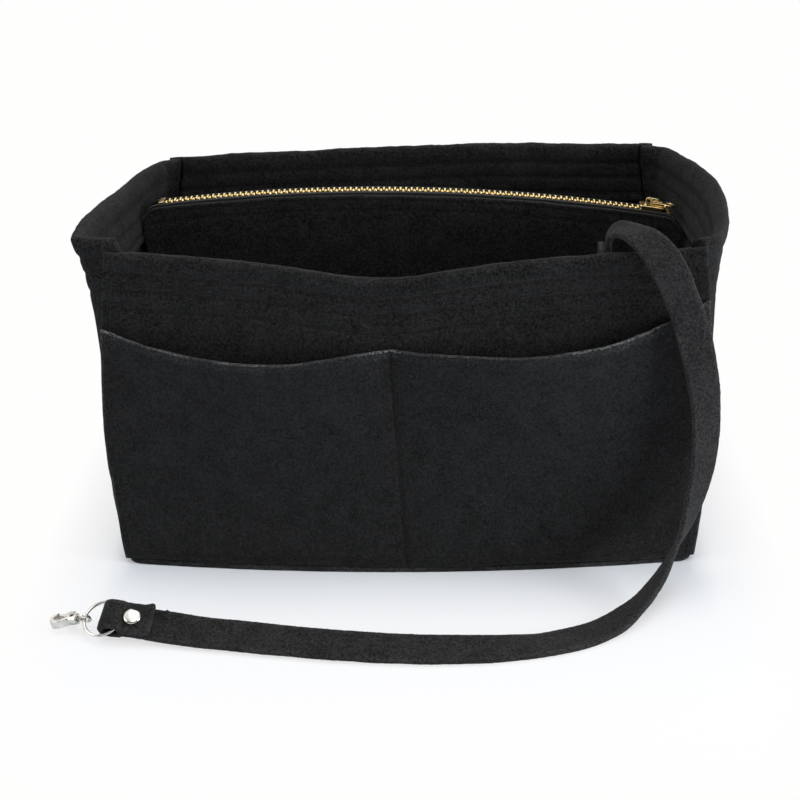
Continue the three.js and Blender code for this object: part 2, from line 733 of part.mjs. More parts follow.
// Plan of a slider plate: wide where the open rows enter on the right, narrower on the left
function sliderPlan() {
  const half = sliderLength / 2;
  const shape = new THREE.Shape();
  shape.moveTo(-half, -sliderHalfWidth + sliderNose);
  shape.lineTo(-half + sliderNose, -sliderHalfWidth);
  shape.lineTo(half - sliderShoulder, -sliderHalfWidth);
  shape.lineTo(half, -sliderHalfWidth + sliderShoulder);
  shape.lineTo(half, sliderHalfWidth - sliderShoulder);
  shape.lineTo(half - sliderShoulder, sliderHalfWidth);
  shape.lineTo(-half + sliderNose, sliderHalfWidth);
  shape.lineTo(-half, sliderHalfWidth - sliderNose);
  return shape;
}

function makeSlider() {
  const half = sliderLength / 2;
  const inside = sliderInside / 2;
  const plate = extrude(sliderPlan(), sliderPlate);
  let solid = toSolid(plate.clone().translate(0, 0, inside));
  solid = solid.add(toSolid(plate.clone().translate(0, 0, -inside - sliderPlate)));
  const reach = inside + joinDepth;
  const post = box(sliderPostStart, sliderPostEnd, -sliderPost / 2, sliderPost / 2, -reach, reach);
  solid = solid.add(toSolid(post));
  const flangeInner = chainHalfWidth + seamGap;
  for (const side of [-1, 1]) {
    for (const up of [-1, 1]) {
      const y0 = side > 0 ? flangeInner : -sliderHalfWidth;
      const y1 = side > 0 ? sliderHalfWidth : -flangeInner;
      const z0 = up > 0 ? sliderFlangeGap / 2 : -reach;
      const z1 = up > 0 ? reach : -sliderFlangeGap / 2;
      solid = solid.add(toSolid(box(-half + sliderNose, half - sliderShoulder, y0, y1, z0, z1)));
    }
  }
  return toGeometry(solid.add(toSolid(makeCrown())));
}

// Pull: a cross bar under the crown, two arms beside it and a round loop at the end
function makePull() {
  const arm = crownWidth / 2 + pullArmGap;
  const block = crownLength / 2 + pullBlockGap;
  const half = pullThickness / 2;
  const outer = new THREE.Shape();
  outer.absellipse(pullLength - pullWidth / 2, 0, pullWidth / 2, pullWidth / 2, 0, 2 * Math.PI);
  const plate = extrude(outer, pullThickness, 12);
  let solid = toSolid(plate.translate(0, 0, -half));
  const blockEnd = pullLength - pullWidth + pullRing;
  solid = solid.add(toSolid(box(block, blockEnd, -arm - pullArm, arm + pullArm, -half, half)));
  for (const side of [-1, 1]) {
    const y0 = side > 0 ? arm : -arm - pullArm;
    solid = solid.add(toSolid(box(-pullBar, block + joinDepth, y0, y0 + pullArm, -half, half)));
  }
  const bar = new THREE.CylinderGeometry(pullBar, pullBar, 2 * (arm + pullBarEnd), 12);
  solid = solid.add(toSolid(bar));
  const inner = new THREE.Shape();
  const open = pullWidth / 2 - pullRing;
  inner.absellipse(pullLength - pullWidth / 2, 0, open, open, 0, 2 * Math.PI);
  const hole = extrude(inner, 2 * pullThickness, 10);
  return toGeometry(solid.subtract(toSolid(hole.translate(0, 0, -pullThickness))));
}

// Centre line of a strap fold, from its tail to the strap: distance past the rivet, and offset
function foldLine(tail, cavity, cavityEnd) {
  const pressed = (layerGap + strapThickness) / 2;
  const open = cavity + strapThickness / 2;
  const line = [[-tail, pressed], [-rivetRadius, pressed], [foldPress, pressed]];
  line.push([foldPress + foldRise, open]);
  for (let step = 0; step <= foldSteps; step += 1) {
    const turn = Math.PI / 2 - (Math.PI * step) / foldSteps;
    line.push([cavityEnd + open * Math.cos(turn), open * Math.sin(turn)]);
  }
  line.push([foldPress + foldRise, -open], [foldPress, -pressed], [-rivetRadius, -pressed]);
  return line;
}

// A fold in space: its origin is between the layers at the rivet, and it runs to its closed end
function placeFold(line, origin, along, across, pinch) {
  const face = new THREE.Vector3().crossVectors(across, along);
  return line.map(([past, off]) => ({
    centre: origin.clone().addScaledVector(along, past).addScaledVector(face, off),
    across: across.clone(),
    half: strapWidth / 2 - (past > foldPress ? pinch : 0),
  }));
}

function strapStations() {
  const linkFold = foldLine(rootTail, linkWire + linkClear, linkBarPast + linkCornerRoom);
  const root = placeFold(linkFold, rootOrigin, rootAlong, rootAcross, 0);
  const ringFold = foldLine(endTail, endCavity, endFoldCentre);
  const end = placeFold(ringFold, endOrigin, endDirection, endWidth, endPinch);
  const route = strapRoute.map(([x, y, z, u, v, w]) => ({
    centre: new THREE.Vector3(rootX + x, y, z),
    across: new THREE.Vector3(u, v, w).normalize(),
  }));
  const knots = [root.at(-1), ...route, end.at(-1)];
  const centres = new THREE.CatmullRomCurve3(knots.map((knot) => knot.centre), false, 'catmullrom', 0.5);
  const widths = new THREE.CatmullRomCurve3(knots.map((knot) => knot.across), false, 'catmullrom', 0.5);
  const steps = (knots.length - 1) * strapStepsPerSpan;
  const free = spread(0, 1, steps).slice(1, -1).map((share) => ({
    centre: centres.getPoint(share),
    across: widths.getPoint(share),
    half: strapWidth / 2,
  }));
  return [...root, ...free, ...end.toReversed()];
}

// The strap's section, with its edges broken
function strapSection(half) {
  const thick = strapThickness / 2;
  return [
    [half - strapChamfer, -thick], [half, strapChamfer - thick], [half, thick - strapChamfer],
    [half - strapChamfer, thick], [strapChamfer - half, thick], [-half, thick - strapChamfer],
    [-half, strapChamfer - thick], [strapChamfer - half, -thick],
  ];
}

// The felt strip as one body, its section turned with the strap's width
function makeStrap() {
  const stations = strapStations();
  const rings = stations.map(({ centre, across, half }, at) => {
    const before = stations[Math.max(at - 1, 0)].centre;
    const after = stations[Math.min(at + 1, stations.length - 1)].centre;
    const arrive = centre.clone().sub(before).normalize();
    const leave = after.clone().sub(centre).normalize();
    const along = arrive.clone().add(leave).normalize();
    const wide = across.clone().addScaledVector(along, -across.dot(along)).normalize();
    const face = new THREE.Vector3().crossVectors(along, wide);
    const stretch = 1 / Math.max(along.dot(leave.lengthSq() > 0 ? leave : arrive), 0.8);
    return strapSection(half).map(([u, v]) => (
      centre.clone().addScaledVector(wide, u).addScaledVector(face, v * stretch)
    ));
  });
  let solid = toSolid(loft(strapSection(strapWidth / 2), rings));
  for (const matrix of [rootRivetMatrix, endRivetMatrix]) {
    const hole = new THREE.CylinderGeometry(rivetHole, rivetHole, 4 * strapThickness, 16);
    solid = solid.subtract(toSolid(hole.applyMatrix4(matrix)));
  }
  return toGeometry(solid);
}

// Rivet along Y: a domed head, a shank through both layers and a flatter back
function makeRivet() {
  const seat = strapThickness + layerGap / 2 + rivetSeat;
  const profile = [
    [0, -seat - rivetBack], [rivetRadius - rivetBackSet, -seat - rivetBack],
    [rivetRadius, -seat - rivetBackEdge], [rivetRadius, -seat], [rivetShank, -seat],
    [rivetShank, seat], [rivetRadius, seat],
    [rivetRadius, seat + 0.26 * rivetDome], [0.82 * rivetRadius, seat + 0.59 * rivetDome],
    [0.5 * rivetRadius, seat + 0.91 * rivetDome], [0, seat + rivetDome],
  ];
  const points = profile.map(([radius, height]) => new THREE.Vector2(radius, height));
  return new THREE.LatheGeometry(points, rivetSides);
}

// Closed tube round a loop of points that lies in a plane
function loopTube(points, normal, radius, sides) {
  const count = points.length;
  const vertices = [];
  const faces = [];
  for (let at = 0; at < count; at += 1) {
    const along = points[(at + 1) % count].clone().sub(points[(at + count - 1) % count]).normalize();
    const outward = new THREE.Vector3().crossVectors(along, normal).normalize();
    for (let side = 0; side < sides; side += 1) {
      const turn = (2 * Math.PI * side) / sides;
      const point = points[at].clone().addScaledVector(outward, radius * Math.cos(turn));
      vertices.push(point.addScaledVector(normal, radius * Math.sin(turn)));
      const a = at * sides + side;
      const b = at * sides + ((side + 1) % sides);
      const c = ((at + 1) % count) * sides + ((side + 1) % sides);
      const d = ((at + 1) % count) * sides + side;
      faces.push([a, b, c], [a, c, d]);
    }
  }
  return closedGeometry(vertices, faces);
}

// Oblong wire link that the strap's root is folded round; it lies in a plane across X
function makeRootLink() {
  const outline = new THREE.Shape();
  const top = rootRivetZ - linkBarPast;
  const back = rootY + linkBack;
  const corners = [
    [back, top, 0], [linkFrontY, top, Math.PI / 2],
    [linkFrontY, top - linkHeight, Math.PI], [back, top - linkHeight, (3 * Math.PI) / 2],
  ];
  for (const [y, z, turn] of corners) {
    const centreY = y === back ? y - linkCorner : y + linkCorner;
    const centreZ = z === top ? z - linkCorner : z + linkCorner;
    outline.absarc(centreY, centreZ, linkCorner, turn, turn + Math.PI / 2, false);
  }
  const points = outline.getPoints(6).map((point) => new THREE.Vector3(rootX, point.x, point.y));
  const apart = points.filter((point, at) => point.distanceTo(points[(at + 1) % points.length]) > 1e-3);
  return loopTube(apart, new THREE.Vector3(1, 0, 0), linkWire, 8);
}

// Felt tab round the link's front bar, with its foot against the inside of the front wall
function makeRootTab() {
  const hole = linkWire + linkClear;
  const wallSide = linkFrontY - hole - tabSeat;
  const shape = new THREE.Shape();
  shape.moveTo(-tabFoot, wallSide);
  shape.lineTo(tabFoot, wallSide);
  shape.lineTo(tabFoot, wallSide + tabFelt);
  shape.lineTo(hole + tabFelt, wallSide + tabFelt);
  shape.lineTo(hole + tabFelt, linkFrontY + hole + tabFelt - tabCorner);
  shape.lineTo(hole, linkFrontY + hole + tabFelt);
  shape.lineTo(-hole, linkFrontY + hole + tabFelt);
  shape.lineTo(-hole - tabFelt, linkFrontY + hole + tabFelt - tabCorner);
  shape.lineTo(-hole - tabFelt, wallSide + tabFelt);
  shape.lineTo(-tabFoot, wallSide + tabFelt);
  const eye = new THREE.Path();
  eye.absarc(0, linkFrontY, hole, 0, 2 * Math.PI, true);
  shape.holes.push(eye);
  const geometry = extrude(shape, tabHeight, 4);
  geometry.translate(0, -linkFrontY, rootRivetZ - linkBarPast - linkHeight / 2 - tabHeight / 2);
  return geometry.rotateZ(wallSlope).translate(rootX, linkFrontY, 0);
}

// Eye of the swivel: a loop round the ring's wire, and a headed stem that turns in the barrel
function makeSwivelEye() {
  const middle = eyeInside + eyeWire;
  const loop = new THREE.TorusGeometry(middle, eyeWire, 8, 20).rotateX(Math.PI / 2);
  const headEnd = stemHeadStart + stemHeadThickness;
  const solid = toSolid(loop)
    .add(toSolid(rod(stemRadius, middle, headEnd - joinDepth)))
    .add(toSolid(rod(stemHead, stemHeadStart, headEnd)));
  return toGeometry(solid);
}

// Prism along Z of a full ellipse
function ellipsePrism(x, halfX, halfY, thickness) {
  const shape = new THREE.Shape();
  shape.absellipse(x, 0, halfX, halfY, 0, 2 * Math.PI);
  const geometry = extrude(shape, thickness, 16);
  return geometry.translate(0, 0, -thickness / 2);
}

// Barrel, hook and the fork that carries the gate, in the clasp's plane
function makeClaspBody() {
  const thick = hookThickness / 2;
  const slot = gateThickness / 2 + claspClear;
  let solid = toSolid(ellipsePrism(hookMiddle, hookHalfLength, hookHalfWidth, hookThickness));
  solid = solid.subtract(toSolid(ellipsePrism(
    hookMiddle, hookHalfLength - hookBand, hookHalfWidth - hookBand, 2 * hookThickness,
  )));
  solid = solid.add(toSolid(rod(barrelRadius, barrelStart, barrelEnd, 20)));
  const forkEnd = gatePinX + forkPast;
  const outside = -hookHalfWidth - claspClear;
  const mouth = box(forkEnd, gateTip + claspClear, outside, hookMouthY, -hookThickness, hookThickness);
  solid = solid.subtract(toSolid(mouth));
  solid = solid.add(toSolid(box(barrelEnd - barrelLap, forkEnd, -hookHalfWidth, forkRootY, -thick, thick)));
  const slotStart = gatePinX - gateBand / 2 - claspClear;
  solid = solid.subtract(toSolid(box(slotStart, forkEnd + forkPast, outside, springSeatY, -slot, slot)));
  const pinRoom = pinRadius + claspClear;
  const pinHole = new THREE.CylinderGeometry(pinRoom, pinRoom, 2 * hookThickness, 12);
  solid = solid.subtract(toSolid(pinHole.rotateX(Math.PI / 2).translate(gatePinX, gatePinY, 0)));
  const cavityStart = stemHeadStart - claspClear;
  const cavityEnd = stemHeadStart + stemHeadThickness + 2 * claspClear;
  const stemRoom = rod(stemRadius + claspClear, barrelStart - claspClear, cavityStart + joinDepth);
  solid = solid.subtract(toSolid(stemRoom));
  solid = solid.subtract(toSolid(rod(stemHead + claspClear, cavityStart, cavityEnd, 20)));
  const window = toSolid(box(cavityStart, cavityEnd, -barrelWindow, barrelWindow, 0, 2 * barrelRadius));
  return toGeometry(solid.subtract(window));
}

// Gate, with its pin hole at the origin: a bar to the hook's nose and a thumb piece
function makeGate() {
  const half = gateBand / 2;
  const thick = gateThickness / 2;
  const shape = new THREE.Shape();
  shape.absarc(0, 0, half, Math.PI / 2, (3 * Math.PI) / 2, false);
  shape.lineTo(gateNubFrom, -half);
  shape.lineTo(gateNubFrom + gateNubSlope, -half - gateNub);
  shape.lineTo(gateNubTo - gateNubSlope, -half - gateNub);
  shape.lineTo(gateNubTo, -half);
  shape.lineTo(gateTip - gatePinX, -half);
  shape.lineTo(gateTip - gatePinX, half);
  const hole = new THREE.Path();
  hole.absarc(0, 0, pinRadius + claspClear / 2, 0, 2 * Math.PI, true);
  shape.holes.push(hole);
  const geometry = extrude(shape, gateThickness, 6);
  return geometry.translate(0, 0, -thick);
}

// Small coil between the gate's root and the fork, along Y
function makeGateSpring() {
  const start = gatePinY + gateBand / 2 + springEndGap;
  const length = springSeatY - springEndGap - start;
  const perTurn = 8;
  const section = Array.from({ length: 5 }, (unused, side) => {
    const turn = (2 * Math.PI * side) / 5;
    return [springWire * Math.cos(turn), springWire * Math.sin(turn)];
  });
  const rings = spread(0, springTurns, springTurns * perTurn).map((turns) => {
    const turn = 2 * Math.PI * turns;
    const outward = new THREE.Vector3(Math.cos(turn), 0, Math.sin(turn));
    const centre = outward.clone().multiplyScalar(springRadius);
    centre.y = start + (length * turns) / springTurns;
    return section.map(([u, v]) => {
      const point = centre.clone().addScaledVector(outward, u);
      point.y += v;
      return point;
    });
  });
  return loft(section, rings).translate(gatePinX - springInset, 0, 0);
}

// Places along the folds
const rootOrigin = new THREE.Vector3(rootX, rootY, rootRivetZ);
const rootAlong = new THREE.Vector3(0, 0, -1);
const rootAcross = new THREE.Vector3(0, 1, 0);
const linkBarPast = foldPress + foldRise + linkWire;
const endOrigin = new THREE.Vector3(...endMiddle);
const endDirection = new THREE.Vector3(...endAlong).normalize();
const endWidth = new THREE.Vector3(...endAcross);
endWidth.addScaledVector(endDirection, -endWidth.dot(endDirection)).normalize();
const endUp = new THREE.Vector3().crossVectors(endWidth, endDirection);
const ringChord = Math.sqrt(ringRadius ** 2 - (strapWidth / 2 - endPinch) ** 2);
const endFoldCentre = ringHingeAlong + ringHingeArm - ringChord + endFoldPast;

// The front wall's slope and inner face where the root is held
const rootShare = rootX / halfWidth(-bagDepth / 2, rootRivetZ - linkHeight);
const wallSlope = Math.atan((2 * frontBow * rootShare ** 2) / rootX);
const wallInside = -bagDepth / 2 - frontBow * (1 - rootShare ** 2) + hemThickness;
const linkFrontY = wallInside + seamGap + tabSeat + linkWire + linkClear;

// The clasp's hook and gate
const hookHalfLength = (claspLength - barrelEnd + barrelLap) / 2;
const hookMiddle = claspLength - hookHalfLength;
const gatePinX = barrelEnd + gatePinSet;
const gatePinY = -hookHalfWidth + gatePinRise;
const gateTip = claspLength - gateTipShort;

// Direction in the plane of the strap's end and its upward face, tilted below the strap
function tilted(degrees) {
  const turn = THREE.MathUtils.degToRad(degrees);
  return endDirection.clone().multiplyScalar(Math.cos(turn)).addScaledVector(endUp, -Math.sin(turn));
}

function basisAt(origin, x, y) {
  const z = new THREE.Vector3().crossVectors(x, y);
  return new THREE.Matrix4().makeBasis(x, y, z).setPosition(origin);
}

function place(mesh, matrix) {
  matrix.decompose(mesh.position, mesh.quaternion, mesh.scale);
  return mesh;
}

const rootRivetMatrix = basisAt(rootOrigin, rootAcross, new THREE.Vector3(-1, 0, 0));
const endRivetMatrix = basisAt(endOrigin, endDirection, endUp);

// Shell
addMesh('base_panel', makeBasePanel(), felt);
addMesh('front_wall', makeLongWall(-1), felt);
addMesh('back_wall', makeLongWall(1), felt);
addMesh('left_end_wall', makeEndWall(-1), felt);
addMesh('right_end_wall', makeEndWall(1), felt);
addMesh('front_pocket_panel', makePocketPanel(), felt);

// Zip pouch
addMesh('pouch_front_panel', makePouchPanel(-1), felt);
addMesh('pouch_back_panel', makePouchPanel(1), felt);
addMesh('zip_tape_front', makeTape(-1), zipTape);
addMesh('zip_tape_back', makeTape(1), zipTape);
addMesh('zip_chain_front', makeChainRow(-1, firstTooth), gold);
addMesh('zip_chain_back', makeChainRow(1, firstTooth + toothPitch / 2), gold);
addMesh('zip_top_stop_front', makeTopStop(-1), gold);
addMesh('zip_top_stop_back', makeTopStop(1), gold);
addMesh('zip_bottom_stop', makeBottomStop(), gold);

// Slider, at rest by the right shoulder, with its pull lying to the right
const slider = new THREE.Group();
const sliderFrame = zipFrame(zipRightRun - sliderRest);
slider.position.set(sliderFrame.x, pouchY, sliderFrame.z);
slider.rotation.y = sliderFrame.heading;
group.add(slider);
addMesh('zip_slider', makeSlider(), gold, slider);
const pull = addMesh('zip_pull', makePull(), gold, slider);
pull.position.z = sliderInside / 2 + sliderPlate + pullBar + pullRest;

// Key strap and what holds its root
addMesh('key_strap', makeStrap(), strapFelt);
place(addMesh('strap_root_rivet', makeRivet(), nickel), rootRivetMatrix);
place(addMesh('strap_end_rivet', makeRivet(), nickel), endRivetMatrix);
addMesh('root_ring', makeRootLink(), nickel);
addMesh('root_tab', makeRootTab(), felt);

// Ring on its swinging axis, and the clasp that hangs on it
const ringOut = tilted(ringTilt);
const ringHinge = endOrigin.clone().addScaledVector(endDirection, ringHingeAlong);
const ring = new THREE.TorusGeometry(ringRadius, ringWire, 8, 40).translate(ringHingeArm, 0, 0);
place(addMesh('end_ring', ring, nickel), basisAt(ringHinge, ringOut, endWidth));
const eyePlace = ringHinge.clone().addScaledVector(ringOut, ringHingeArm + ringRadius);
const claspOut = tilted(claspTilt);
place(addMesh('swivel_eye', makeSwivelEye(), nickel), basisAt(eyePlace, claspOut, endWidth));

// The clasp lies with its flat side down: its spine towards the front, its gate towards the bag
const clasp = new THREE.Group();
const claspUp = new THREE.Vector3(0, 0, 1).addScaledVector(claspOut, -claspOut.z).normalize();
place(clasp, basisAt(eyePlace, claspOut, new THREE.Vector3().crossVectors(claspUp, claspOut)));
group.add(clasp);
addMesh('clasp_body', makeClaspBody(), nickel, clasp);
const gate = addMesh('clasp_gate', makeGate(), nickel, clasp);
gate.position.set(gatePinX, gatePinY, 0);
const pin = new THREE.CylinderGeometry(pinRadius, pinRadius, hookThickness, 12).rotateX(Math.PI / 2);
addMesh('gate_pin', pin.translate(gatePinX, gatePinY, 0), nickel, clasp);
addMesh('gate_spring', makeGateSpring(), nickel, clasp);

export default group;
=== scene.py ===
import math

import bmesh
import bpy
import numpy as np
from mathutils import Matrix, Vector, noise


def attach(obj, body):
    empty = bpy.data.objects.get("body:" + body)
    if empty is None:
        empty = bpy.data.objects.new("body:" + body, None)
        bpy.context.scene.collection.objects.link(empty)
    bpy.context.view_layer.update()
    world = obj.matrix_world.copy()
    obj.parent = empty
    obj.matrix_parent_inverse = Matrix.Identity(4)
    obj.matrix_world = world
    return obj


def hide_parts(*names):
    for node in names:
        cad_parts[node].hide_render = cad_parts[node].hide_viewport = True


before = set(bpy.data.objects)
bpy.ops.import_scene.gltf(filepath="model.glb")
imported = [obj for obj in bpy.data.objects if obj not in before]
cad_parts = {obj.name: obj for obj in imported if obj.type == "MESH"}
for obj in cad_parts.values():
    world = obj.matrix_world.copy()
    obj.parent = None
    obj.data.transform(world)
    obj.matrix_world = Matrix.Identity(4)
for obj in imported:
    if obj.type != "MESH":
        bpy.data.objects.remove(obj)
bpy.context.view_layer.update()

# Camera, standing where the photograph was taken: a little above the bag and in front of it,
# with a short telephoto lens. The whole scene is in metres, and the sizes below are in millimetres.
MM = 0.001
photo_side = 800
photo_focal = 1774
sensor_width = 36
camera_place = Vector((20.0, -807.9, 379.0)) * MM
camera_pitch = math.radians(22.2)
camera_yaw = 0.031
camera_roll = -0.0191

level_right = Vector((math.cos(camera_yaw), math.sin(camera_yaw), 0))
level_ahead = Vector((-math.sin(camera_yaw), math.cos(camera_yaw), 0))
ahead = level_ahead * math.cos(camera_pitch) - Vector((0, 0, math.sin(camera_pitch)))
above = level_right.cross(ahead)
camera_right = level_right * math.cos(camera_roll) + above * math.sin(camera_roll)
camera_up = above * math.cos(camera_roll) - level_right * math.sin(camera_roll)
camera_data = bpy.data.cameras.new("camera")
camera_data.sensor_width = sensor_width
camera_data.lens = photo_focal * sensor_width / photo_side
camera_data.clip_start = 0.02
camera_data.clip_end = 20


def new_object(name, data):
    """An object that holds the data, in the scene."""
    obj = bpy.data.objects.new(name, data)
    bpy.context.scene.collection.objects.link(obj)
    return obj


camera = new_object("camera", camera_data)
turn = Matrix((camera_right, camera_up, -ahead)).transposed()
camera.matrix_world = Matrix.Translation(camera_place) @ turn.to_4x4()
bpy.context.scene.camera = camera
bpy.context.scene.view_settings.view_transform = "Standard"


# Key strap: one strip of thick felt, cut and not hemmed, that hangs over the front rim and lies
# along the floor. Each end is folded back round its metal ring and held by a rivet. Its cut edges
# are fuzzy, and paler than its faces: partly wear, partly a painted highlight where they catch light.
strap_width = 15
strap_thickness = 2.5
strap_layer_gap = 0.3
strap_edge_round = 0.7
strap_edge_band = 1.2
strap_fuzz = 0.14
strap_lumps = [(2.2, 0.5 * strap_fuzz), (1.1, strap_fuzz), (14, 0.25)]
lump_seed = 1
strap_spacing = 1.3
strap_end_taper = 0.93
rivet_radius = 3.8
rivet_press = 3.9
rivet_rise = 1.7
rivet_dent = 0.35
rivet_dent_radius = 4.6
rivet_dent_height = 5
strap_tail = 8.5
tail_bend = 2
tail_bend_share = 0.45
tail_lift = 0.5
tail_curl = 2.2
tail_curl_along = 1.3
tail_curl_across = 1.5
root_rivet = np.array([88, -62, 138.0])
root_along = np.array([0, 0, -1.0])
root_across = np.array([0, 1.0, 0])
root_cavity = 1.0
root_fold_middle = 7.5
end_rivet = np.array([-116, -146.6, 8.4])
end_along = np.array([-0.98895, 0.13052, 0.07028])
end_across = np.array([0.14816, 0.85492, 0.49715])
end_cavity = 2.0
end_fold_middle = 9.66
end_pinch = 0.5
strap_route = [
    (89.6, -62.6, 148.5, 0.05, 1, 0),
    (92, -66.5, 154.2, 0.1, 1, -0.05),
    (97.4, -72.8, 156.4, 0.3, 0.93, 0.05),
    (103.8, -80, 154.6, 0.65, 0.7, 0.32),
    (109, -85.5, 149.8, 0.88, 0.25, 0.42),
    (114, -88, 142, 0.95, 0.1, 0.32),
    (119.2, -88.8, 130, 0.97, 0.1, 0.22),
    (123.8, -89, 117, 0.98, 0.15, 0.15),
    (127.8, -88.5, 102, 0.96, 0.25, 0.08),
    (130.8, -88.5, 86, 0.9, 0.42, 0),
    (132, -89, 70, 0.82, 0.57, 0),
    (131, -90.5, 54, 0.76, 0.65, 0),
    (128.2, -93, 40, 0.66, 0.75, 0),
    (123.8, -97, 28, 0.44, 0.88, -0.12),
    (117.5, -103.8, 17.5, 0.15, 0.94, -0.28),
    (111, -112.6, 10.2, -0.08, 0.93, -0.36),
    (104.3, -122, 6.4, -0.2, 0.91, -0.35),
    (97, -131.5, 4.3, -0.4, 0.87, -0.25),
    (88, -141, 2.3, -0.55, 0.83, -0.05),
    (76, -149.5, 1.8, -0.42, 0.9, 0.04),
    (60, -157, 2.2, -0.28, 0.95, 0.1),
    (40, -162, 3.2, -0.15, 0.96, 0.24),
    (15, -164.2, 4, -0.02, 0.94, 0.33),
    (-10, -163.4, 4.4, 0.05, 0.92, 0.37),
    (-40, -159.8, 4.8, 0.12, 0.9, 0.4),
    (-70, -154.6, 5.2, 0.15, 0.88, 0.44),
    (-90, -151, 5.6, 0.15, 0.87, 0.47),
]


def unit(vectors):
    """The same vectors, one unit long."""
    return vectors / np.linalg.norm(vectors, axis=-1, keepdims=True)


def between(at, start, end, first, last):
    """A value on the straight run from first, at the start, to last, at the end."""
    return (end - at) / (end - start) * first + (at - start) / (end - start) * last


def smooth_line(knots, spacing):
    """Points about that far apart on a smooth line through knots, which open with x, y and z."""
    knots = np.asarray(knots, float)
    padded = np.concatenate([2 * knots[:1] - knots[1:2], knots, 2 * knots[-1:] - knots[-2:-1]])
    gaps = np.sqrt(np.linalg.norm(np.diff(padded[:, :3], axis=0), axis=1))
    times = np.concatenate([[0], np.cumsum(gaps)])
    made = []
    for at in range(1, len(padded) - 2):
        span = np.linalg.norm(padded[at + 1, :3] - padded[at, :3])
        steps = max(2, math.ceil(span / spacing))
        t = np.linspace(times[at], times[at + 1], steps, endpoint=False)[:, None]
        t0, t1, t2, t3 = times[at - 1 : at + 3]
        p0, p1, p2, p3 = padded[at - 1 : at + 3]
        second = between(t, t1, t2, p1, p2)
        before = between(t, t0, t2, between(t, t0, t1, p0, p1), second)
        after = between(t, t1, t3, second, between(t, t2, t3, p2, p3))
        made.append(between(t, t1, t2, before, after))
    made.append(knots[-1:])
    return np.concatenate(made)


def fold(origin, along, across, cavity, middle, pinch, lift):
    """Knots of a folded end, from its tail to the strap: place, direction of the width, half width."""
    pressed = (strap_layer_gap + strap_thickness) / 2
    opened = cavity + strap_thickness / 2
    line = [(-strap_tail, pressed + lift), (-strap_tail + tail_bend, pressed + tail_bend_share * lift)]
    line += [(-rivet_radius, pressed), (rivet_press, pressed), (rivet_press + rivet_rise, opened)]
    for turned in np.linspace(math.pi / 2, -math.pi / 2, 9):
        line.append((middle + opened * math.cos(turned), opened * math.sin(turned)))
    line += [(rivet_press + rivet_rise, -opened), (rivet_press, -pressed), (-rivet_radius, -pressed)]
    facing = np.cross(across, along)
    knots = []
    for past, off in line:
        half = strap_width / 2 - (pinch if past > rivet_press else 0)
        knots.append([*(origin + along * past + facing * off), *across, half])
    return knots


def add_piece(name, points, faces, finish, body="bag", **attributes):
    """A mesh piece from points in millimetres that rides on a body."""
    mesh = bpy.data.meshes.new(name)
    mesh.from_pydata((np.asarray(points) * MM).tolist(), [], faces)
    mesh.validate()
    for key, values in attributes.items():
        layer = mesh.attributes.new(key, "FLOAT", "POINT")
        layer.data.foreach_set("value", np.asarray(values, np.float32).ravel())
    mesh.shade_smooth()
    mesh.materials.append(finish)
    obj = new_object(name, mesh)
    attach(obj, body)
    return obj


def volume_sign(points, faces):
    """Positive where the faces point outwards."""
    total = 0
    for face in faces:
        a, b, c = points[face[0]], points[face[1]], points[face[2]]
        total += np.dot(a, np.cross(b, c))
        if len(face) == 4:
            total += np.dot(a, np.cross(c, points[face[3]]))
    return total


def loft(rings, closed=False):
    """Points and outward faces of a closed body through rings, an array of ring, point, xyz."""
    rings = np.asarray(rings, float)
    count, size = rings.shape[:2]
    faces = []
    for ring in range(count if closed else count - 1):
        after = (ring + 1) % count
        for i in range(size):
            j = (i + 1) % size
            faces.append((ring * size + i, ring * size + j, after * size + j, after * size + i))
    if not closed:
        last = (count - 1) * size
        for i in range(size // 2 - 1):
            cap = (i, size - 1 - i, size - 2 - i, i + 1)
            faces.append(cap)
            faces.append(tuple(last + corner for corner in reversed(cap)))
    points = rings.reshape(-1, 3)
    if volume_sign(points, faces) < 0:
        faces = [tuple(reversed(face)) for face in faces]
    return points, faces


def roughen(points, sizes):
    """The points moved by smooth noise: pairs of a wavelength and how far it moves them."""
    moved = np.array(points, float)
    for wavelength, reach in sizes:
        for at, point in enumerate(points):
            moved[at] += np.array(noise.noise_vector(Vector(point) / wavelength)) * reach
    return moved


def flat_section(half, thickness, edge_round):
    """Section of a cut felt strip, round at its edges, and how near each point is to an edge."""
    flat = np.linspace(edge_round - half, half - edge_round, 9)
    turns = np.linspace(math.pi / 2, -math.pi / 2, 6)[1:-1]
    top = [(u, thickness / 2, abs(u) > half - strap_edge_band) for u in flat]
    side = [(half - edge_round * (1 - math.cos(a)), thickness / 2 * math.sin(a), 1) for a in turns]
    low = [(u, -v, e) for u, v, e in reversed(top)]
    other = [(-u, v, e) for u, v, e in reversed(side)]
    return np.array([*top, *side, *low, *other], float)


class Value:
    """A number on a shader node's socket. Arithmetic on it adds Math nodes."""

    def __init__(self, tree, socket):
        self.tree = tree
        self.socket = socket

    def worked(self, operation, *others, clamp=False):
        node = self.tree.nodes.new("ShaderNodeMath")
        node.operation = operation
        node.use_clamp = clamp
        for socket, value in zip(node.inputs, others):
            if isinstance(value, Value):
                self.tree.links.new(value.socket, socket)
            else:
                socket.default_value = value
        return Value(self.tree, node.outputs[0])

    def __add__(self, other):
        return self.worked("ADD", self, other)

    def __sub__(self, other):
        return self.worked("SUBTRACT", self, other)

    def __rsub__(self, other):
        return self.worked("SUBTRACT", other, self)

    def __mul__(self, other):
        return self.worked("MULTIPLY", self, other)

    __radd__ = __add__
    __rmul__ = __mul__

    def over(self, start, end):
        """0 below start, 1 above end, and a straight rise between them."""
        scaled = self.worked("SUBTRACT", self, start)
        return scaled.worked("DIVIDE", scaled, end - start, clamp=True)


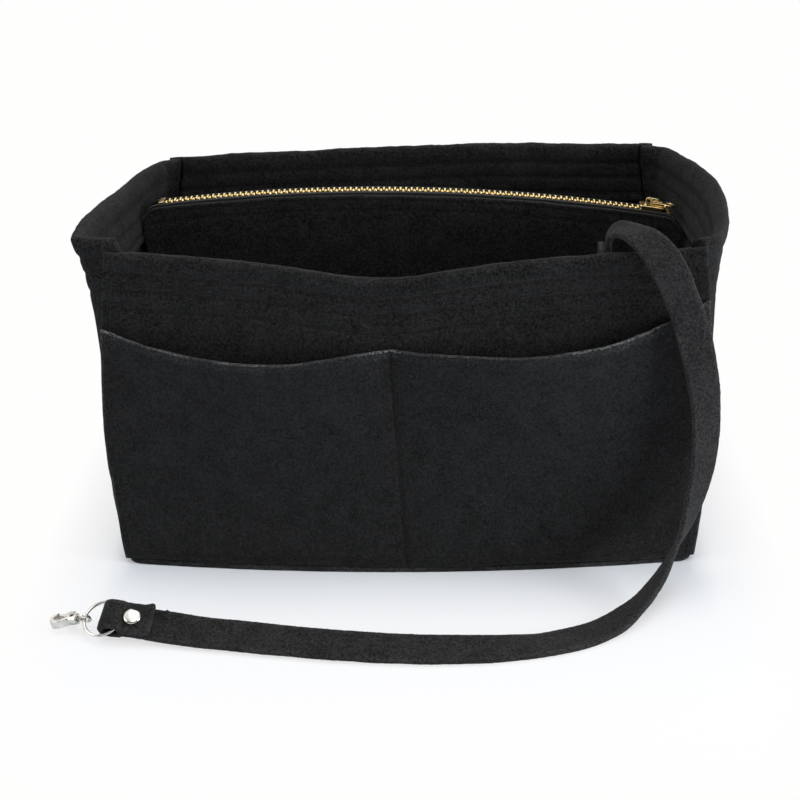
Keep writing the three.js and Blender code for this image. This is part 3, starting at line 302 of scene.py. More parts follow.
def add_node(tree, kind, settings=None, inputs=None):
    """A node whose settings come first; a node given for a socket stands for its first output."""
    node = tree.nodes.new(kind)
    for key, value in (settings or {}).items():
        setattr(node, key, value)
    for key, value in (inputs or {}).items():
        if isinstance(value, bpy.types.Node):
            value = value.outputs[0]
        if isinstance(value, Value):
            value = value.socket
        if isinstance(value, bpy.types.NodeSocket):
            tree.links.new(value, node.inputs[key])
        else:
            node.inputs[key].default_value = value
    return node


class Finish:
    """A material with one Principled shader, and the nodes that feed it."""

    def __init__(self, name, **constants):
        self.material = bpy.data.materials.new(name)
        self.material.use_nodes = True
        self.tree = self.material.node_tree
        self.tree.nodes.clear()
        self.shader = self.node("ShaderNodeBsdfPrincipled")
        self.output = self.node("ShaderNodeOutputMaterial", inputs={"Surface": self.shader})
        for key, value in constants.items():
            self.shader.inputs[key.replace("_", " ")].default_value = value

    def node(self, kind, settings=None, inputs=None):
        return add_node(self.tree, kind, settings, inputs)

    def place(self):
        return self.node("ShaderNodeTexCoord").outputs["Object"]

    def noise(self, size, detail=2.0, curl=0.0):
        """Smooth noise with features about that many millimetres across, curled where asked."""
        sockets = {"Vector": self.place(), "Scale": 1 / (size * MM), "Detail": detail, "Distortion": curl}
        return Value(self.tree, self.node("ShaderNodeTexNoise", inputs=sockets).outputs["Fac"])

    def attribute(self, name):
        found = self.node("ShaderNodeAttribute", {"attribute_name": name})
        return Value(self.tree, found.outputs["Fac"])

    def mix(self, share, first, second):
        node = self.node("ShaderNodeMix", {"data_type": "RGBA"}, {0: share, 6: first, 7: second})
        return node.outputs[2]

    def bump(self, height, depth, strength=1.0):
        sockets = {"Height": height, "Distance": depth * MM, "Strength": strength}
        node = self.node("ShaderNodeBump", inputs=sockets)
        self.tree.links.new(node.outputs[0], self.shader.inputs["Normal"])

    def set(self, name, value):
        socket = value.socket if isinstance(value, Value) else value
        self.tree.links.new(socket, self.shader.inputs[name])


def grey(level, tint=(1, 1, 1)):
    """A linear colour from a display grey of 0 to 255, with a slight tint."""
    share = level / 255
    linear = share / 12.92 if share < 0.04045 else ((share + 0.055) / 1.055) ** 2.4
    return (linear * tint[0], linear * tint[1], linear * tint[2], 1)


# Clouds, tufts, flecks and fibres of the felt: size in millimetres, curl, and share in its shade.
felt_grains = [(11, 0, 0.7), (2.3, 0.8, 0.75), (1.0, 0.5, 2.3), (0.36, 0.6, 1.5)]
lint_size = 2.1
lint_grey = 90
wear_and_highlight_size = 26


def make_felt(name, low, high, edge, tint, lump):
    """Matted wool: tufts and flecks of curled fibre, darker between them, and paler cut edges,
    partly fuzzy wear and partly a painted highlight where the edges catch light.
    """
    felt = Finish(name, Roughness=0.95, Sheen_Weight=0.05, Sheen_Roughness=0.5, Specular_IOR_Level=0.06)
    grains = [felt.noise(size, 2, curl) for size, curl, _ in felt_grains]
    _, tuft, fleck, fibre = grains
    lint = felt.noise(lint_size, 1)
    wear_and_highlight_patch = felt.noise(wear_and_highlight_size, 1)
    shade = 0.5
    for grain, (_, _, part) in zip(grains, felt_grains):
        shade = (grain - 0.5) * part + shade
    body = felt.mix(shade.over(0, 1), grey(low, tint), grey(high, tint))
    flecked = (fleck + fibre).over(0.9, 1.2)
    # Edges paled in patches: partly fuzzy wear, partly a painted highlight where they catch light.
    edge_wear_and_highlight = felt.attribute("edge") * (0.05 + flecked * (0.2 + wear_and_highlight_patch.over(0.42, 0.56) * 0.8))
    paler = felt.mix(edge_wear_and_highlight, body, grey(edge, tint))
    specks = lint.over(0.76, 0.79) * fibre.over(0.5, 0.6)
    felt.set("Base Color", felt.mix(specks * 0.5, paler, grey(lint_grey, tint)))
    felt.bump(tuft * 0.5 * lump + fleck * lump + fibre * 0.5, 0.6, 0.8)
    return felt.material


# The seed keeps every lump of the felt the same from run to run.
noise.seed_set(lump_seed)
strap_felt = make_felt("strap_felt", 16, 47, 56, (1.0, 1, 1.02), 0.7)
strap_knots = [
    *fold(root_rivet, root_along, root_across, root_cavity, root_fold_middle, 0, 0),
    *[(*row, strap_width / 2) for row in strap_route],
    *reversed(fold(end_rivet, end_along, end_across, end_cavity, end_fold_middle, end_pinch, tail_lift)),
]
strap_line = smooth_line(strap_knots, strap_spacing)
strap_centres = strap_line[:, :3]
strap_along = unit(np.gradient(strap_centres, axis=0))
strap_wide = strap_line[:, 3:6]
strap_wide = unit(strap_wide - strap_along * (strap_wide * strap_along).sum(1)[:, None])
strap_face = np.cross(strap_along, strap_wide)
strap_rings = []
strap_edges = []
for centre, wide, face, half in zip(strap_centres, strap_wide, strap_face, strap_line[:, 6]):
    section = flat_section(half, strap_thickness, strap_edge_round)
    strap_rings.append(centre + section[:, :1] * wide + section[:, 1:2] * face)
    strap_edges.append(section[:, 2])
for end in (0, -1):
    middle = strap_rings[end].mean(axis=0)
    strap_rings[end] = middle + (strap_rings[end] - middle) * strap_end_taper
    strap_edges[end] = np.ones(len(strap_edges[end]))
strap_points, strap_faces = loft(strap_rings)
strap_points = roughen(strap_points, strap_lumps)
apart = strap_points - end_rivet
curled = np.clip((-(apart @ end_along) - rivet_radius) / (strap_tail - rivet_radius), 0, 1)
curled = curled**tail_curl_along * np.clip(apart @ end_across / (strap_width / 2), 0, 1) ** tail_curl_across
curled *= (apart @ np.cross(end_across, end_along) > 0) & (np.linalg.norm(apart, axis=1) < strap_width)
strap_points = strap_points + (tail_curl * curled)[:, None] * np.cross(end_across, end_along)
for rivet, along, across in ((root_rivet, root_along, root_across), (end_rivet, end_along, end_across)):
    outward = np.cross(across, along)
    apart = strap_points - rivet
    height = apart @ outward
    radius = np.linalg.norm(apart - height[:, None] * outward, axis=1)
    reach = np.exp(-((radius / rivet_dent_radius) ** 4)) * (np.abs(height) < rivet_dent_height)
    strap_points = strap_points - (np.sign(height) * rivet_dent * reach)[:, None] * outward
strap = add_piece("strap", strap_points, strap_faces, strap_felt, edge=np.array(strap_edges))
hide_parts("key_strap")


# Shell of the bag: thick felt walls, sewn flange to flange at the corners. The long walls and the
# end walls have their rims turned inwards and held by three rows of stitches, which press grooves
# into the felt. The base is a plain piece of the same felt with round corners.
bag_depth = 150
front_width = 261
wall_height = 150
felt_thickness = 2.5
hem_thickness = 5
hem_depth = 29
hem_inset = 6.9
seam_gap = 0.3
wall_foot = 2.8
front_bow = 10.5
back_bow = 3
side_swell = 5.5
back_taper = 8
flange = 6
corner_turn = 1.2
flares = {-1: (17.5, 63, 2.29, 0.456, 0.523), 1: (19.2, 71, 1.68, 1.13, 0.54)}
front_rim = 149.8
front_sag = 2.8
front_dip = 7.3
front_dip_x = -10
front_dip_run = 40
back_peak = 158.5
back_peak_x = 75
left_back_rim = 153.5
corner_rim = 2.55
left_rim_lift = 1.9
rim_lift_end = 25
rim_lift_run = 70
corner_lifts = {-1: 2.6, 1: 1.4}
corner_lift_run = 13
middle_lift = 1.3
flange_slopes = {-1: (4.5, 0, 0), 1: (7, 4, 1.5)}
stitch_rows = (9.5, 17, 25)
groove_depth = 1.0
groove_width = 1.25
end_groove_share = 0.45
rim_plump = 0.7
plump_row = 4.8
plump_width = 3.2
cut_round = 0.35
lip_round = 0.5
lip_drop = 0.9
hem_step = 0.003
wall_last_share = 0.9965
wall_cap_inset = 0.4
wall_spacing = 1.3
shell_lumps = [(38, 0.7), (14, 0.4), (4.5, 0.18), (1.9, 0.14)]
shell_felt = make_felt("shell_felt", 5, 37, 60, (0.98, 1, 1.02), 1.0)


def swell(at, middle, run):
    """1 at the middle, and dying away smoothly over that run."""
    return np.exp(-(((at - middle) / run) ** 2))


def half_width(y, z):
    rise = np.minimum(z / wall_height, 1)
    back = (y + bag_depth / 2) / bag_depth
    return front_width / 2 + side_swell * np.sin(np.pi * rise**0.9) - back_taper * back * rise


def end_flare(side, y, z):
    inner = bag_depth / 2 - felt_thickness - seam_gap
    share = np.clip((y + inner if side < 0 else inner - y) / (2 * inner), 0, 1)
    size, start, late, reach, full = flares[side]
    fullness = np.maximum(np.sin(np.pi * share**reach), 0) ** full
    rise = np.maximum(z - start, 0) / (wall_height - start)
    return size * fullness * rise**late


def front_rim_at(x):
    across = x / (front_width / 2)
    dip = front_dip * swell(x, front_dip_x, front_dip_run)
    return front_rim - front_sag * np.maximum(1 - across**2, 0) - dip


def back_rim_at(x):
    left_corner = -(front_width / 2 - back_taper)
    share = (x - back_peak_x) / (left_corner - back_peak_x)
    return back_peak - (back_peak - left_back_rim) * share**2


def end_rim_at(side, y):
    back = (y + bag_depth / 2) / bag_depth
    near = np.clip((rim_lift_end - y) / rim_lift_run, 0, 1)
    lift = corner_lifts[side] * swell(y, -bag_depth / 2, corner_lift_run)
    lift += left_rim_lift * np.sin(np.pi / 2 * near) ** 2 * (side < 0)
    lift += middle_lift * np.sqrt(np.sin(np.pi * np.clip(back, 0, 1)))
    return front_rim + (back_rim_at(side * (front_width / 2 - back_taper)) - front_rim) * back + lift


def grooves(below, share):
    """How far stitch rows press the felt in, that far below the rim."""
    pressed = sum(share * groove_depth * swell(below, row, groove_width) for row in stitch_rows)
    return pressed - rim_plump * swell(below, plump_row, plump_width)


def wall_section(rim, thickness, groove_share=1):
    """Distance in from the outer face, height, and nearness to a cut edge, up, over and down; the fold
    over the rim gets a small mark too, a painted highlight along the rim.
    """
    hem_foot = rim - hem_depth
    low = np.linspace(wall_foot, hem_foot, 20)
    high = np.linspace(hem_foot, rim - thickness / 2, 44)[1:]
    outer = [(cut_round, wall_foot, 1), *[(0, z, 0) for z in low[1:]]]
    outer += [(grooves(rim - z, groove_share), z, 0) for z in high]
    middle = thickness / 2
    top = []
    # The fold over the rim is marked at 0.2 though it is not cut: a painted highlight along the rim.
    for turned in np.linspace(0, math.pi, 15)[1:-1]:
        reach = middle + rim_plump * 0.9 * math.sin(turned) ** 0.5
        top.append((middle - reach * math.cos(turned), rim - middle + middle * math.sin(turned), 0.2))
    inner = [(thickness - grooves(rim - z, groove_share), z, 0) for z in high[::-1]]
    lip = [
        (thickness - 0.2 * lip_round, hem_foot + 0.4 * lip_round, 0.6),
        (thickness - lip_round, hem_foot - 0.5 * lip_round, 1),
        (felt_thickness, hem_foot - lip_round, 0.6),
    ]
    down = [(felt_thickness, z - lip_drop, 0) for z in low[::-1][:-1]]
    section = np.array([*outer, *top, *inner, *lip, *down, (felt_thickness - cut_round, wall_foot, 1)])
    # The caps of a loft pair its points, so there has to be an even number of them.
    return section if len(section) % 2 == 0 else np.delete(section, 1, axis=0)


def wall_point(side, share, depth, z):
    """A point of a long wall: depth is measured in from its outer face."""
    face = bag_depth / 2 + (front_bow if side < 0 else back_bow) * (1 - share**2)
    return (share * half_width(side * bag_depth / 2, z), side * (face - depth), z)


def long_wall_rings(side):
    half = half_width(side * bag_depth / 2, wall_height)
    hem_end = (half - hem_inset) / half
    plain = np.linspace(hem_end + hem_step, wall_last_share, 6)
    shares = np.concatenate([[-1], -plain[::-1], np.linspace(-hem_end, hem_end, 230), plain, [1]])
    rings, edges = [], []
    for share in shares:
        x = share * half
        rim = front_rim_at(x) if side < 0 else back_rim_at(x)
        thickness = corner_rim if abs(share) > hem_end + hem_step / 2 else hem_thickness
        section = wall_section(rim, thickness)
        if abs(share) == 1:
            section[:, 0] = np.clip(section[:, 0], wall_cap_inset, felt_thickness - wall_cap_inset)
            section[:, 2] = 0.5
        rings.append(np.stack(wall_point(side, share, section[:, 0], section[:, 1]), axis=1))
        edges.append(section[:, 2])
    return np.array(rings), np.array(edges)


wall_stations = np.array([66.25, 61, 52, 41, 31, 21, 10, 0])
wall_stations = np.concatenate([-wall_stations, wall_stations[-2::-1]])


def end_line(side, z):
    """Plan of an end wall's outer face at one height, from its front flange to its back flange."""
    edge = bag_depth / 2 - felt_thickness - seam_gap
    front, back = half_width(-edge, z), half_width(edge, z)
    along = side * (half_width(wall_stations, z) + end_flare(side, wall_stations, z))
    middle = np.stack([along, wall_stations], axis=1)
    start = [
        (front - flange, -edge), (front - corner_turn, -edge),
        (front, -edge), (front, corner_turn - edge),
    ]
    end = [
        (back, edge - corner_turn), (back, edge),
        (back - corner_turn, edge), (back - flange, edge),
    ]
    return np.concatenate([np.array(start) * (side, 1), middle, np.array(end) * (side, 1)])


def inward(line, side):
    """Inward direction at each point of a plan, longer at its corners."""
    runs = unit(np.diff(line, axis=0))
    normals = np.stack([-runs[:, 1] * side, runs[:, 0] * side], axis=1)
    before = np.concatenate([normals[:1], normals])
    after = np.concatenate([normals, normals[-1:]])
    both = unit(before + after)
    ways = both / np.maximum((both * after).sum(1), 0.6)[:, None]
    turned = 1 - corner_turn / hem_thickness
    ways[1:4] = [(-side * turned, 1), (-side, 1), (-side, turned)]
    ways[-4:-1] = [(-side, -turned), (-side, -1), (-side * turned, -1)]
    return ways


def end_point(side, at, depth, z):
    """A point of an end wall: its place in the plan, and depth in from the outer face."""
    line = end_line(side, z)
    return (*(line[at] + inward(line, side)[at] * depth), z)


def end_wall_rings(side):
    rings, edges = [], []
    for at, y in enumerate(end_line(side, wall_height)[:, 1]):
        rim = end_rim_at(side, y) - (flange_slopes[side][at] if at < 3 else 0)
        section = wall_section(rim, hem_thickness, end_groove_share)
        rings.append([end_point(side, at, depth, z) for depth, z, _ in section])
        edges.append(section[:, 2])
    rings = np.array(rings)
    flat = np.concatenate([rings.mean(axis=1), rings.reshape(len(rings), -1), np.array(edges)], axis=1)
    fine = smooth_line(flat, wall_spacing)
    size = rings.shape[1]
    return fine[:, 3 : 3 + 3 * size].reshape(len(fine), size, 3), np.clip(fine[:, 3 + 3 * size :], 0, 1)


def add_felt(name, rings, edges, finish, lumps, *nodes):
    """A felt piece through rings, lumpy as matted wool is, in place of its CAD nodes."""
    points, faces = loft(rings)
    obj = add_piece(name, roughen(points, lumps), faces, finish, edge=edges)
    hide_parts(*nodes)


add_felt("front_wall_felt", *long_wall_rings(-1), shell_felt, shell_lumps, "front_wall")
add_felt("back_wall_felt", *long_wall_rings(1), shell_felt, shell_lumps, "back_wall")
add_felt("left_end_felt", *end_wall_rings(-1), shell_felt, shell_lumps, "left_end_wall")
add_felt("right_end_felt", *end_wall_rings(1), shell_felt, shell_lumps, "right_end_wall")

base_thickness = 2.5
base_half = 130.2
base_corner = 6.5
base_front = 77.8
base_back = 75.5
base_round = 0.6
base_lift = 0.02
base_points = 40


def base_rings():
    turns = np.linspace(0, math.pi / 2, 9)
    corner = base_half - base_corner * (1 - np.sin(turns))
    middle = np.linspace(-corner[0], corner[0], 90)[1:-1]
    rings, edges = [], []
    for x in np.concatenate([-corner[::-1], middle, corner]):
        share = min(abs(x) / (front_width / 2), 1)
        into = max(abs(x) - corner[0], 0)
        cut = base_corner - math.sqrt(max(base_corner**2 - into**2, 0))
        front = base_front + front_bow * (1 - share**2) - cut
        back = base_back + back_bow * (1 - share**2) - cut
        depth = np.linspace(-front + base_round, back - base_round, base_points)
        top = [(x, y, base_thickness) for y in depth]
        side = [(x, back, base_thickness - base_round), (x, back, base_round)]
        low = [(x, y, base_lift) for y in depth[::-1]]
        near = [(x, -front, base_round), (x, -front, base_thickness - base_round)]
        rings.append([*top, *side, *low, *near])
        marks = [0.4 * (abs(x) > base_half - 1)] * base_points
        edges.append([*marks, 1, 1, *marks, 1, 1])
    return np.array(rings), np.array(edges)


add_felt("base_felt", *base_rings(), shell_felt, [(14, 0.12), (2.2, 0.1)], "base_panel")


# Pocket panel: a thinner, smoother felt sewn on the front wall at its sides, its foot and one seam,
# so that two pockets open above. Its top edge is cut and fuzzy.
pocket_thickness = 2
pocket_seam = -5
pocket_open = 11
pocket_open_from = 35
pocket_half_at = 115
pocket_lip = 0.8
pocket_lumps = [(30, 0.7), (9, 0.25), (1.6, 0.06)]
pocket_seam_groove = 0.7
pocket_seam_width = 1.1
pocket_seam_foot = 4.6
pocket_seam_head = -1.4
pocket_edge = [
    (-136, 115.5), (-111, 110), (-80, 106.2), (-55, 104.8), (-5, 108.4),
    (41, 107.8), (67, 108.6), (93, 112), (124, 122), (136, 127),
]
# Its pale edge grey stands partly for the fuzzy cut top edge and partly for a painted highlight where that
# edge catches light.
pocket_felt = make_felt("pocket_felt", 13, 36, 112, (0.98, 1, 1.02), 0.45)
pocket_line = smooth_line([(x, 0, z) for x, z in pocket_edge], 1.0)
pocket_half = half_width(-bag_depth / 2, pocket_half_at)


def pocket_top(x):
    return np.interp(x, pocket_line[:, 0], pocket_line[:, 2])


def pocket_mouth(x):
    left = x < pocket_seam
    start, end = (-pocket_half, pocket_seam) if left else (pocket_seam, pocket_half)
    share = min(max((x - start) / (end - start), 0), 1)
    return pocket_open * math.sin(math.pi * share ** (1 if left else 0.8))


def pocket_face(share, z):
    """How far the panel's inner face stands in front of the bag's middle."""
    x = share * pocket_half
    top = pocket_top(x)
    opened = np.maximum((z - pocket_open_from) / (top - pocket_open_from), 0) ** 1.6
    return bag_depth / 2 + front_bow * (1 - share**2) + seam_gap + pocket_mouth(x) * opened


def seam_at(z):
    """Place of the seam across the panel; it leans a little, from the foot to where the edges meet."""
    heights = [wall_foot, pocket_top(pocket_seam)]
    return pocket_seam + np.interp(z, heights, [pocket_seam_foot, pocket_seam_head])


def pocket_point(share, z, depth):
    """A point of the panel: depth is measured in from its outer face."""
    seam = pocket_seam_groove * swell(share * pocket_half, seam_at(z), pocket_seam_width)
    y = -pocket_face(share, z) - pocket_thickness + depth + seam * (1 if depth < 1 else 0)
    return (share * half_width(-bag_depth / 2, z), y, z)


def pocket_rings():
    near_seam = (pocket_seam + np.arange(-3.5, 7, 0.5)) / pocket_half
    shares = np.linspace(-1, 1, 190)
    shares = shares[(shares < near_seam[0]) | (shares > near_seam[-1])]
    rings, edges = [], []
    for share in np.sort(np.concatenate([shares, near_seam])):
        top = pocket_top(share * pocket_half)
        rises = np.concatenate([np.linspace(wall_foot, top - 3, 60), [top - 1.8, top - 0.9]])
        ring = [pocket_point(share, z, 0) for z in rises]
        marks = [0.12 * (z > top - 3.5) for z in rises]
        for turned in np.linspace(0, math.pi, 8):
            depth = pocket_thickness / 2 * (1 - math.cos(turned))
            ring.append(pocket_point(share, top - pocket_lip + pocket_lip * math.sin(turned), depth))
            marks.append(0.9)
        ring += [pocket_point(share, z, pocket_thickness) for z in rises[::-1]]
        marks += [0.0] * len(rises)
        rings.append(ring)
        edges.append([0.35] * len(marks) if abs(share) == 1 else marks)
    return np.array(rings), np.array(edges)


add_felt("pocket_panel_felt", *pocket_rings(), pocket_felt, pocket_lumps, "front_pocket_panel")


# Stitches: short runs of black thread sunk in the grooves, one small capsule for each stitch, laid
# at an even pitch along each row.
thread = Finish("black_thread", Roughness=0.7, Specular_IOR_Level=0.15)
twist = thread.noise(0.25, 1)
thread.set("Base Color", thread.mix(twist, grey(10), grey(30)))
thread.bump(twist, 0.1, 0.5)


def add_tree(name, inputs):
    """A geometry node group with a geometry socket and these named inputs."""
    tree = bpy.data.node_groups.new(name, "GeometryNodeTree")
    tree.interface.new_socket("Geometry", in_out="INPUT", socket_type="NodeSocketGeometry")
    for label, kind in inputs.items():
        tree.interface.new_socket(label, in_out="INPUT", socket_type="NodeSocket" + kind)
    tree.interface.new_socket("Geometry", in_out="OUTPUT", socket_type="NodeSocketGeometry")
    return tree, add_node(tree, "NodeGroupInput").outputs


def row_tree(name, inputs, facing):
    """A tree that steps along rows at its Pitch, and its inputs, points and turns."""
    tree, given = add_tree(name, {"Pitch": "Float", **inputs, "Finish": "Material"})
    curve = add_node(tree, "GeometryNodeMeshToCurve", inputs={"Mesh": given["Geometry"]})
    sockets = {"Curve": curve, "Length": given["Pitch"]}
    points = add_node(tree, "GeometryNodeResampleCurve", {"mode": "LENGTH"}, sockets)
    tangent = add_node(tree, "GeometryNodeInputTangent")
    turn = add_node(tree, "FunctionNodeAlignRotationToVector", facing, {"Vector": tangent})
    return tree, given, points, turn


def finish_tree(tree, given, instances):
    """The end of a tree: its instances made real, in the finish that it is given."""
    real = add_node(tree, "GeometryNodeRealizeInstances", inputs={"Geometry": instances})
    sockets = {"Geometry": real, "Material": given["Finish"]}
    painted = add_node(tree, "GeometryNodeSetMaterial", inputs=sockets)
    add_node(tree, "NodeGroupOutput", inputs={"Geometry": painted})


def settle(obj):
    """Turn the object's mesh into what its modifiers make of it."""
    mesh = obj.data
    graph = bpy.context.evaluated_depsgraph_get()
    graph.update()
    made = bpy.data.meshes.new_from_object(obj.evaluated_get(graph))
    obj.modifiers.clear()
    obj.data = made
    made.shade_smooth()
    bpy.data.meshes.remove(mesh)


def lay(obj, tree, values):
    """The object with its mesh turned into what the tree makes of it."""
    layer = obj.modifiers.new("laid", "NODES")
    layer.node_group = tree
    for item in tree.interface.items_tree:
        if item.name in values:
            layer[item.identifier] = values[item.name]
    settle(obj)
    return obj


def along_rows(name, tree, rows, values):
    """What a tree lays along rows of points in millimetres, as one plain mesh object on the bag."""
    points, edges = [], []
    for row in rows:
        edges += [(len(points) + at, len(points) + at + 1) for at in range(len(row) - 1)]
        points += [tuple(np.asarray(point) * MM) for point in row]
    mesh = bpy.data.meshes.new(name)
    mesh.from_pydata(points, edges, [])
    return lay(new_object(name, mesh), tree, values)


stitch_inputs = {"Length": "Float", "Radius": "Float"}
stitch_tree, stitch_given, stitch_points, stitch_turn = row_tree("stitch_row", stitch_inputs, {"axis": "Z"})
stitch_size = add_node(stitch_tree, "ShaderNodeCombineXYZ", inputs={
    "X": stitch_given["Radius"], "Y": stitch_given["Radius"], "Z": stitch_given["Length"],
})
capsule = add_node(stitch_tree, "GeometryNodeMeshUVSphere", inputs={
    "Segments": 7, "Rings": 6, "Radius": 1.0,
})
stitches = add_node(stitch_tree, "GeometryNodeInstanceOnPoints", inputs={
    "Points": stitch_points, "Instance": capsule, "Rotation": stitch_turn, "Scale": stitch_size,
})
finish_tree(stitch_tree, stitch_given, stitches)
stitch_pitch = 3.1
stitch_half = 1.25
stitch_radius = 0.3
stitch_sink = 0.12
thread_proud = 0.05
row_end_gap = 1.5
corner_row_inset = 4
corner_row_foot = 4.8
corner_row_top = 144
pocket_row_share = 0.972
pocket_row_gap = 1.5
pocket_foot_row = 6.5


def sew(name, rows):
    values = {"Pitch": stitch_pitch * MM, "Length": stitch_half * MM, "Radius": stitch_radius * MM}
    obj = along_rows(name, stitch_tree, rows, {**values, "Finish": thread.material})
    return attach(obj, "bag")


def long_wall_row(side, below, inside):
    half = half_width(side * bag_depth / 2, wall_height)
    row = []
    for share in np.linspace(-1, 1, 90) * (half - hem_inset - row_end_gap) / half:
        x = share * half
        z = (front_rim_at(x) if side < 0 else back_rim_at(x)) - below
        depth = hem_thickness - groove_depth + stitch_sink if inside else groove_depth - stitch_sink
        row.append(wall_point(side, share, depth, z))
    return row


def end_wall_row(side, below, inside):
    knots = []
    for at, y in list(enumerate(end_line(side, wall_height)[:, 1]))[5:-5]:
        depth = end_groove_share * groove_depth - stitch_sink
        depth = hem_thickness - depth if inside else depth
        knots.append(end_point(side, at, depth, end_rim_at(side, y) - below))
    return smooth_line(knots, 3)


rim_rows = [
    row(side, below, inside)
    for row in (long_wall_row, end_wall_row)
    for side in (-1, 1)
    for below in stitch_rows
    for inside in (False, True)
]
corner_rows = []
for side in (-1, 1):
    for end in (-1, 1):
        half = half_width(side * bag_depth / 2, wall_height)
        share = end * (half - corner_row_inset) / half
        heights = np.linspace(corner_row_foot, corner_row_top, 50)
        corner_rows.append([wall_point(side, share, -thread_proud, z) for z in heights])
# The rows move with the larger lumps of the felt under them.
sew("shell_stitches", [roughen(row, shell_lumps[:3]) for row in rim_rows + corner_rows])

pocket_rows = []
for side in (-1, 0, 1):
    row_top = pocket_top(side * pocket_row_share * pocket_half if side else pocket_seam) - pocket_row_gap
    row = []
    for z in np.linspace(5, row_top, 50):
        share = side * pocket_row_share if side else seam_at(z) / pocket_half
        row.append(pocket_point(share, z, -thread_proud if side else -stitch_sink))
    pocket_rows.append(row)
foot_row = []
for share in np.linspace(-0.97, 0.97, 60):
    face = -pocket_face(share, pocket_foot_row) - pocket_thickness - thread_proud
    foot_row.append((share * half_width(-bag_depth / 2, pocket_foot_row), face, pocket_foot_row))
pocket_rows.append(foot_row)
sew("pocket_stitches", pocket_rows)


# Zip pouch: two felt panels across the bag, sewn to the end walls, that meet at their foot. They
# hang a little apart under the zip, and two rows of stitches hold the zip's tapes between them.
pouch_y = 30
pouch_floor = 18
pouch_top_half = 6.1
pouch_straight = 9
pouch_under_zip = 0.5
pouch_rows = (2.6, 7.6)
pouch_groove = 0.45
pouch_groove_width = 0.9
pouch_foot_gap = 0.15
pouch_end_gap = 0.7
pouch_lip = 0.8
pouch_shoulder = 13
pouch_lumps = [(30, 0.5), (9, 0.2)]
hem_start = 100
hem_run = 12
zip_apex_x = -25
zip_apex_z = 147.5
zip_arc = 900
zip_runs = {-1: 97.5, 1: 150}
zip_shoulder = 7.5
zip_shoulder_run = 6
pouch_end_fall = 1.1


def zip_frame(distance):
    """Place and heading of the zip at a distance from its highest point, positive to the right."""
    side = 1 if distance >= 0 else -1
    turned = min(abs(distance), zip_runs[side]) / zip_arc
    extra = max(abs(distance) - zip_runs[side], 0) / zip_shoulder
    across = zip_arc * math.sin(turned) + zip_shoulder * (math.sin(turned + extra) - math.sin(turned))
    drop = zip_arc * (1 - math.cos(turned)) + zip_shoulder * (math.cos(turned) - math.cos(turned + extra))
    return zip_apex_x + side * across, zip_apex_z - drop, side * (turned + extra)


zip_distances = np.linspace(-zip_runs[-1] - zip_shoulder_run, zip_runs[1] + zip_shoulder_run, 500)
zip_table = np.array([zip_frame(distance) for distance in zip_distances])


def zip_height(x):
    """Height of the zip over x; past its ends the pouch's top edge goes on down to the seam."""
    beyond = np.maximum(zip_table[0, 0] - x, 0) + np.maximum(x - zip_table[-1, 0], 0)
    return np.interp(x, zip_table[:, 0], zip_table[:, 1]) - pouch_end_fall * beyond


def pouch_end(side, y, z):
    hemmed = np.clip((z - hem_start) / hem_run, 0, 1)
    thickness = felt_thickness + (hem_thickness - felt_thickness) * hemmed
    return side * (half_width(y, z) + end_flare(side, y, z) - thickness - pouch_end_gap)


def pouch_top_at(share):
    """Height of a panel's top edge at a share of its length."""
    left, right = (pouch_end(side, pouch_y, zip_apex_z - pouch_shoulder) for side in (-1, 1))
    return zip_height(left + (right - left) * share) - pouch_under_zip


def pouch_point(side, share, drop, layer):
    """A point of a panel: drop is measured from its top edge, layer from its inner face to its outer."""
    top = pouch_top_at(share)
    z = top - drop
    fall = max(drop - pouch_straight, 0) / (top - pouch_straight - pouch_floor)
    pressed = sum(pouch_groove * swell(drop, row, pouch_groove_width) for row in pouch_rows)
    across = pouch_top_half + (pouch_foot_gap - pouch_top_half) * fall**1.3
    across += layer * felt_thickness - pressed * (layer > 0.9)
    y = pouch_y + side * across
    left, right = pouch_end(-1, y, z), pouch_end(1, y, z)
    x = left + (right - left) * share
    return (x, y, min(z, zip_height(x) - pouch_under_zip))


def pouch_rings(side):
    shares = [np.linspace(0, 0.05, 14)[:-1], np.linspace(0.05, 0.95, 110), np.linspace(0.95, 1, 14)[1:]]
    rings, edges = [], []
    for share in np.concatenate(shares):
        deep = pouch_top_at(share) - pouch_floor
        drops = np.concatenate([np.linspace(pouch_lip, 10, 24), np.linspace(10, deep, 30)[1:]])
        ring = [pouch_point(side, share, drop, 0) for drop in drops[::-1]]
        marks = [0.0] * len(drops)
        # The rounded top edge is marked paler: partly its cut edge, partly a painted highlight along it.
        for turned in np.linspace(0, math.pi, 9)[1:-1]:
            layer = (1 - math.cos(turned)) / 2
            ring.append(pouch_point(side, share, pouch_lip - pouch_lip * math.sin(turned), layer))
            marks.append(0.35)
        ring.append(pouch_point(side, share, pouch_lip, 0.95))
        ring += [pouch_point(side, share, drop, 1) for drop in drops]
        marks += [0.2] + [0.0] * len(drops)
        rings.append(ring)
        edges.append(marks)
    return np.array(rings), np.array(edges)


for side, name in ((-1, "front"), (1, "back")):
    add_felt(f"pouch_{name}_felt", *pouch_rings(side), shell_felt, pouch_lumps, f"pouch_{name}_panel")
sew("pouch_stitches", [
    [pouch_point(side, share, row, 1) for share in np.linspace(0.03, 0.97, 90)]
    for side in (-1, 1) for row in pouch_rows
])


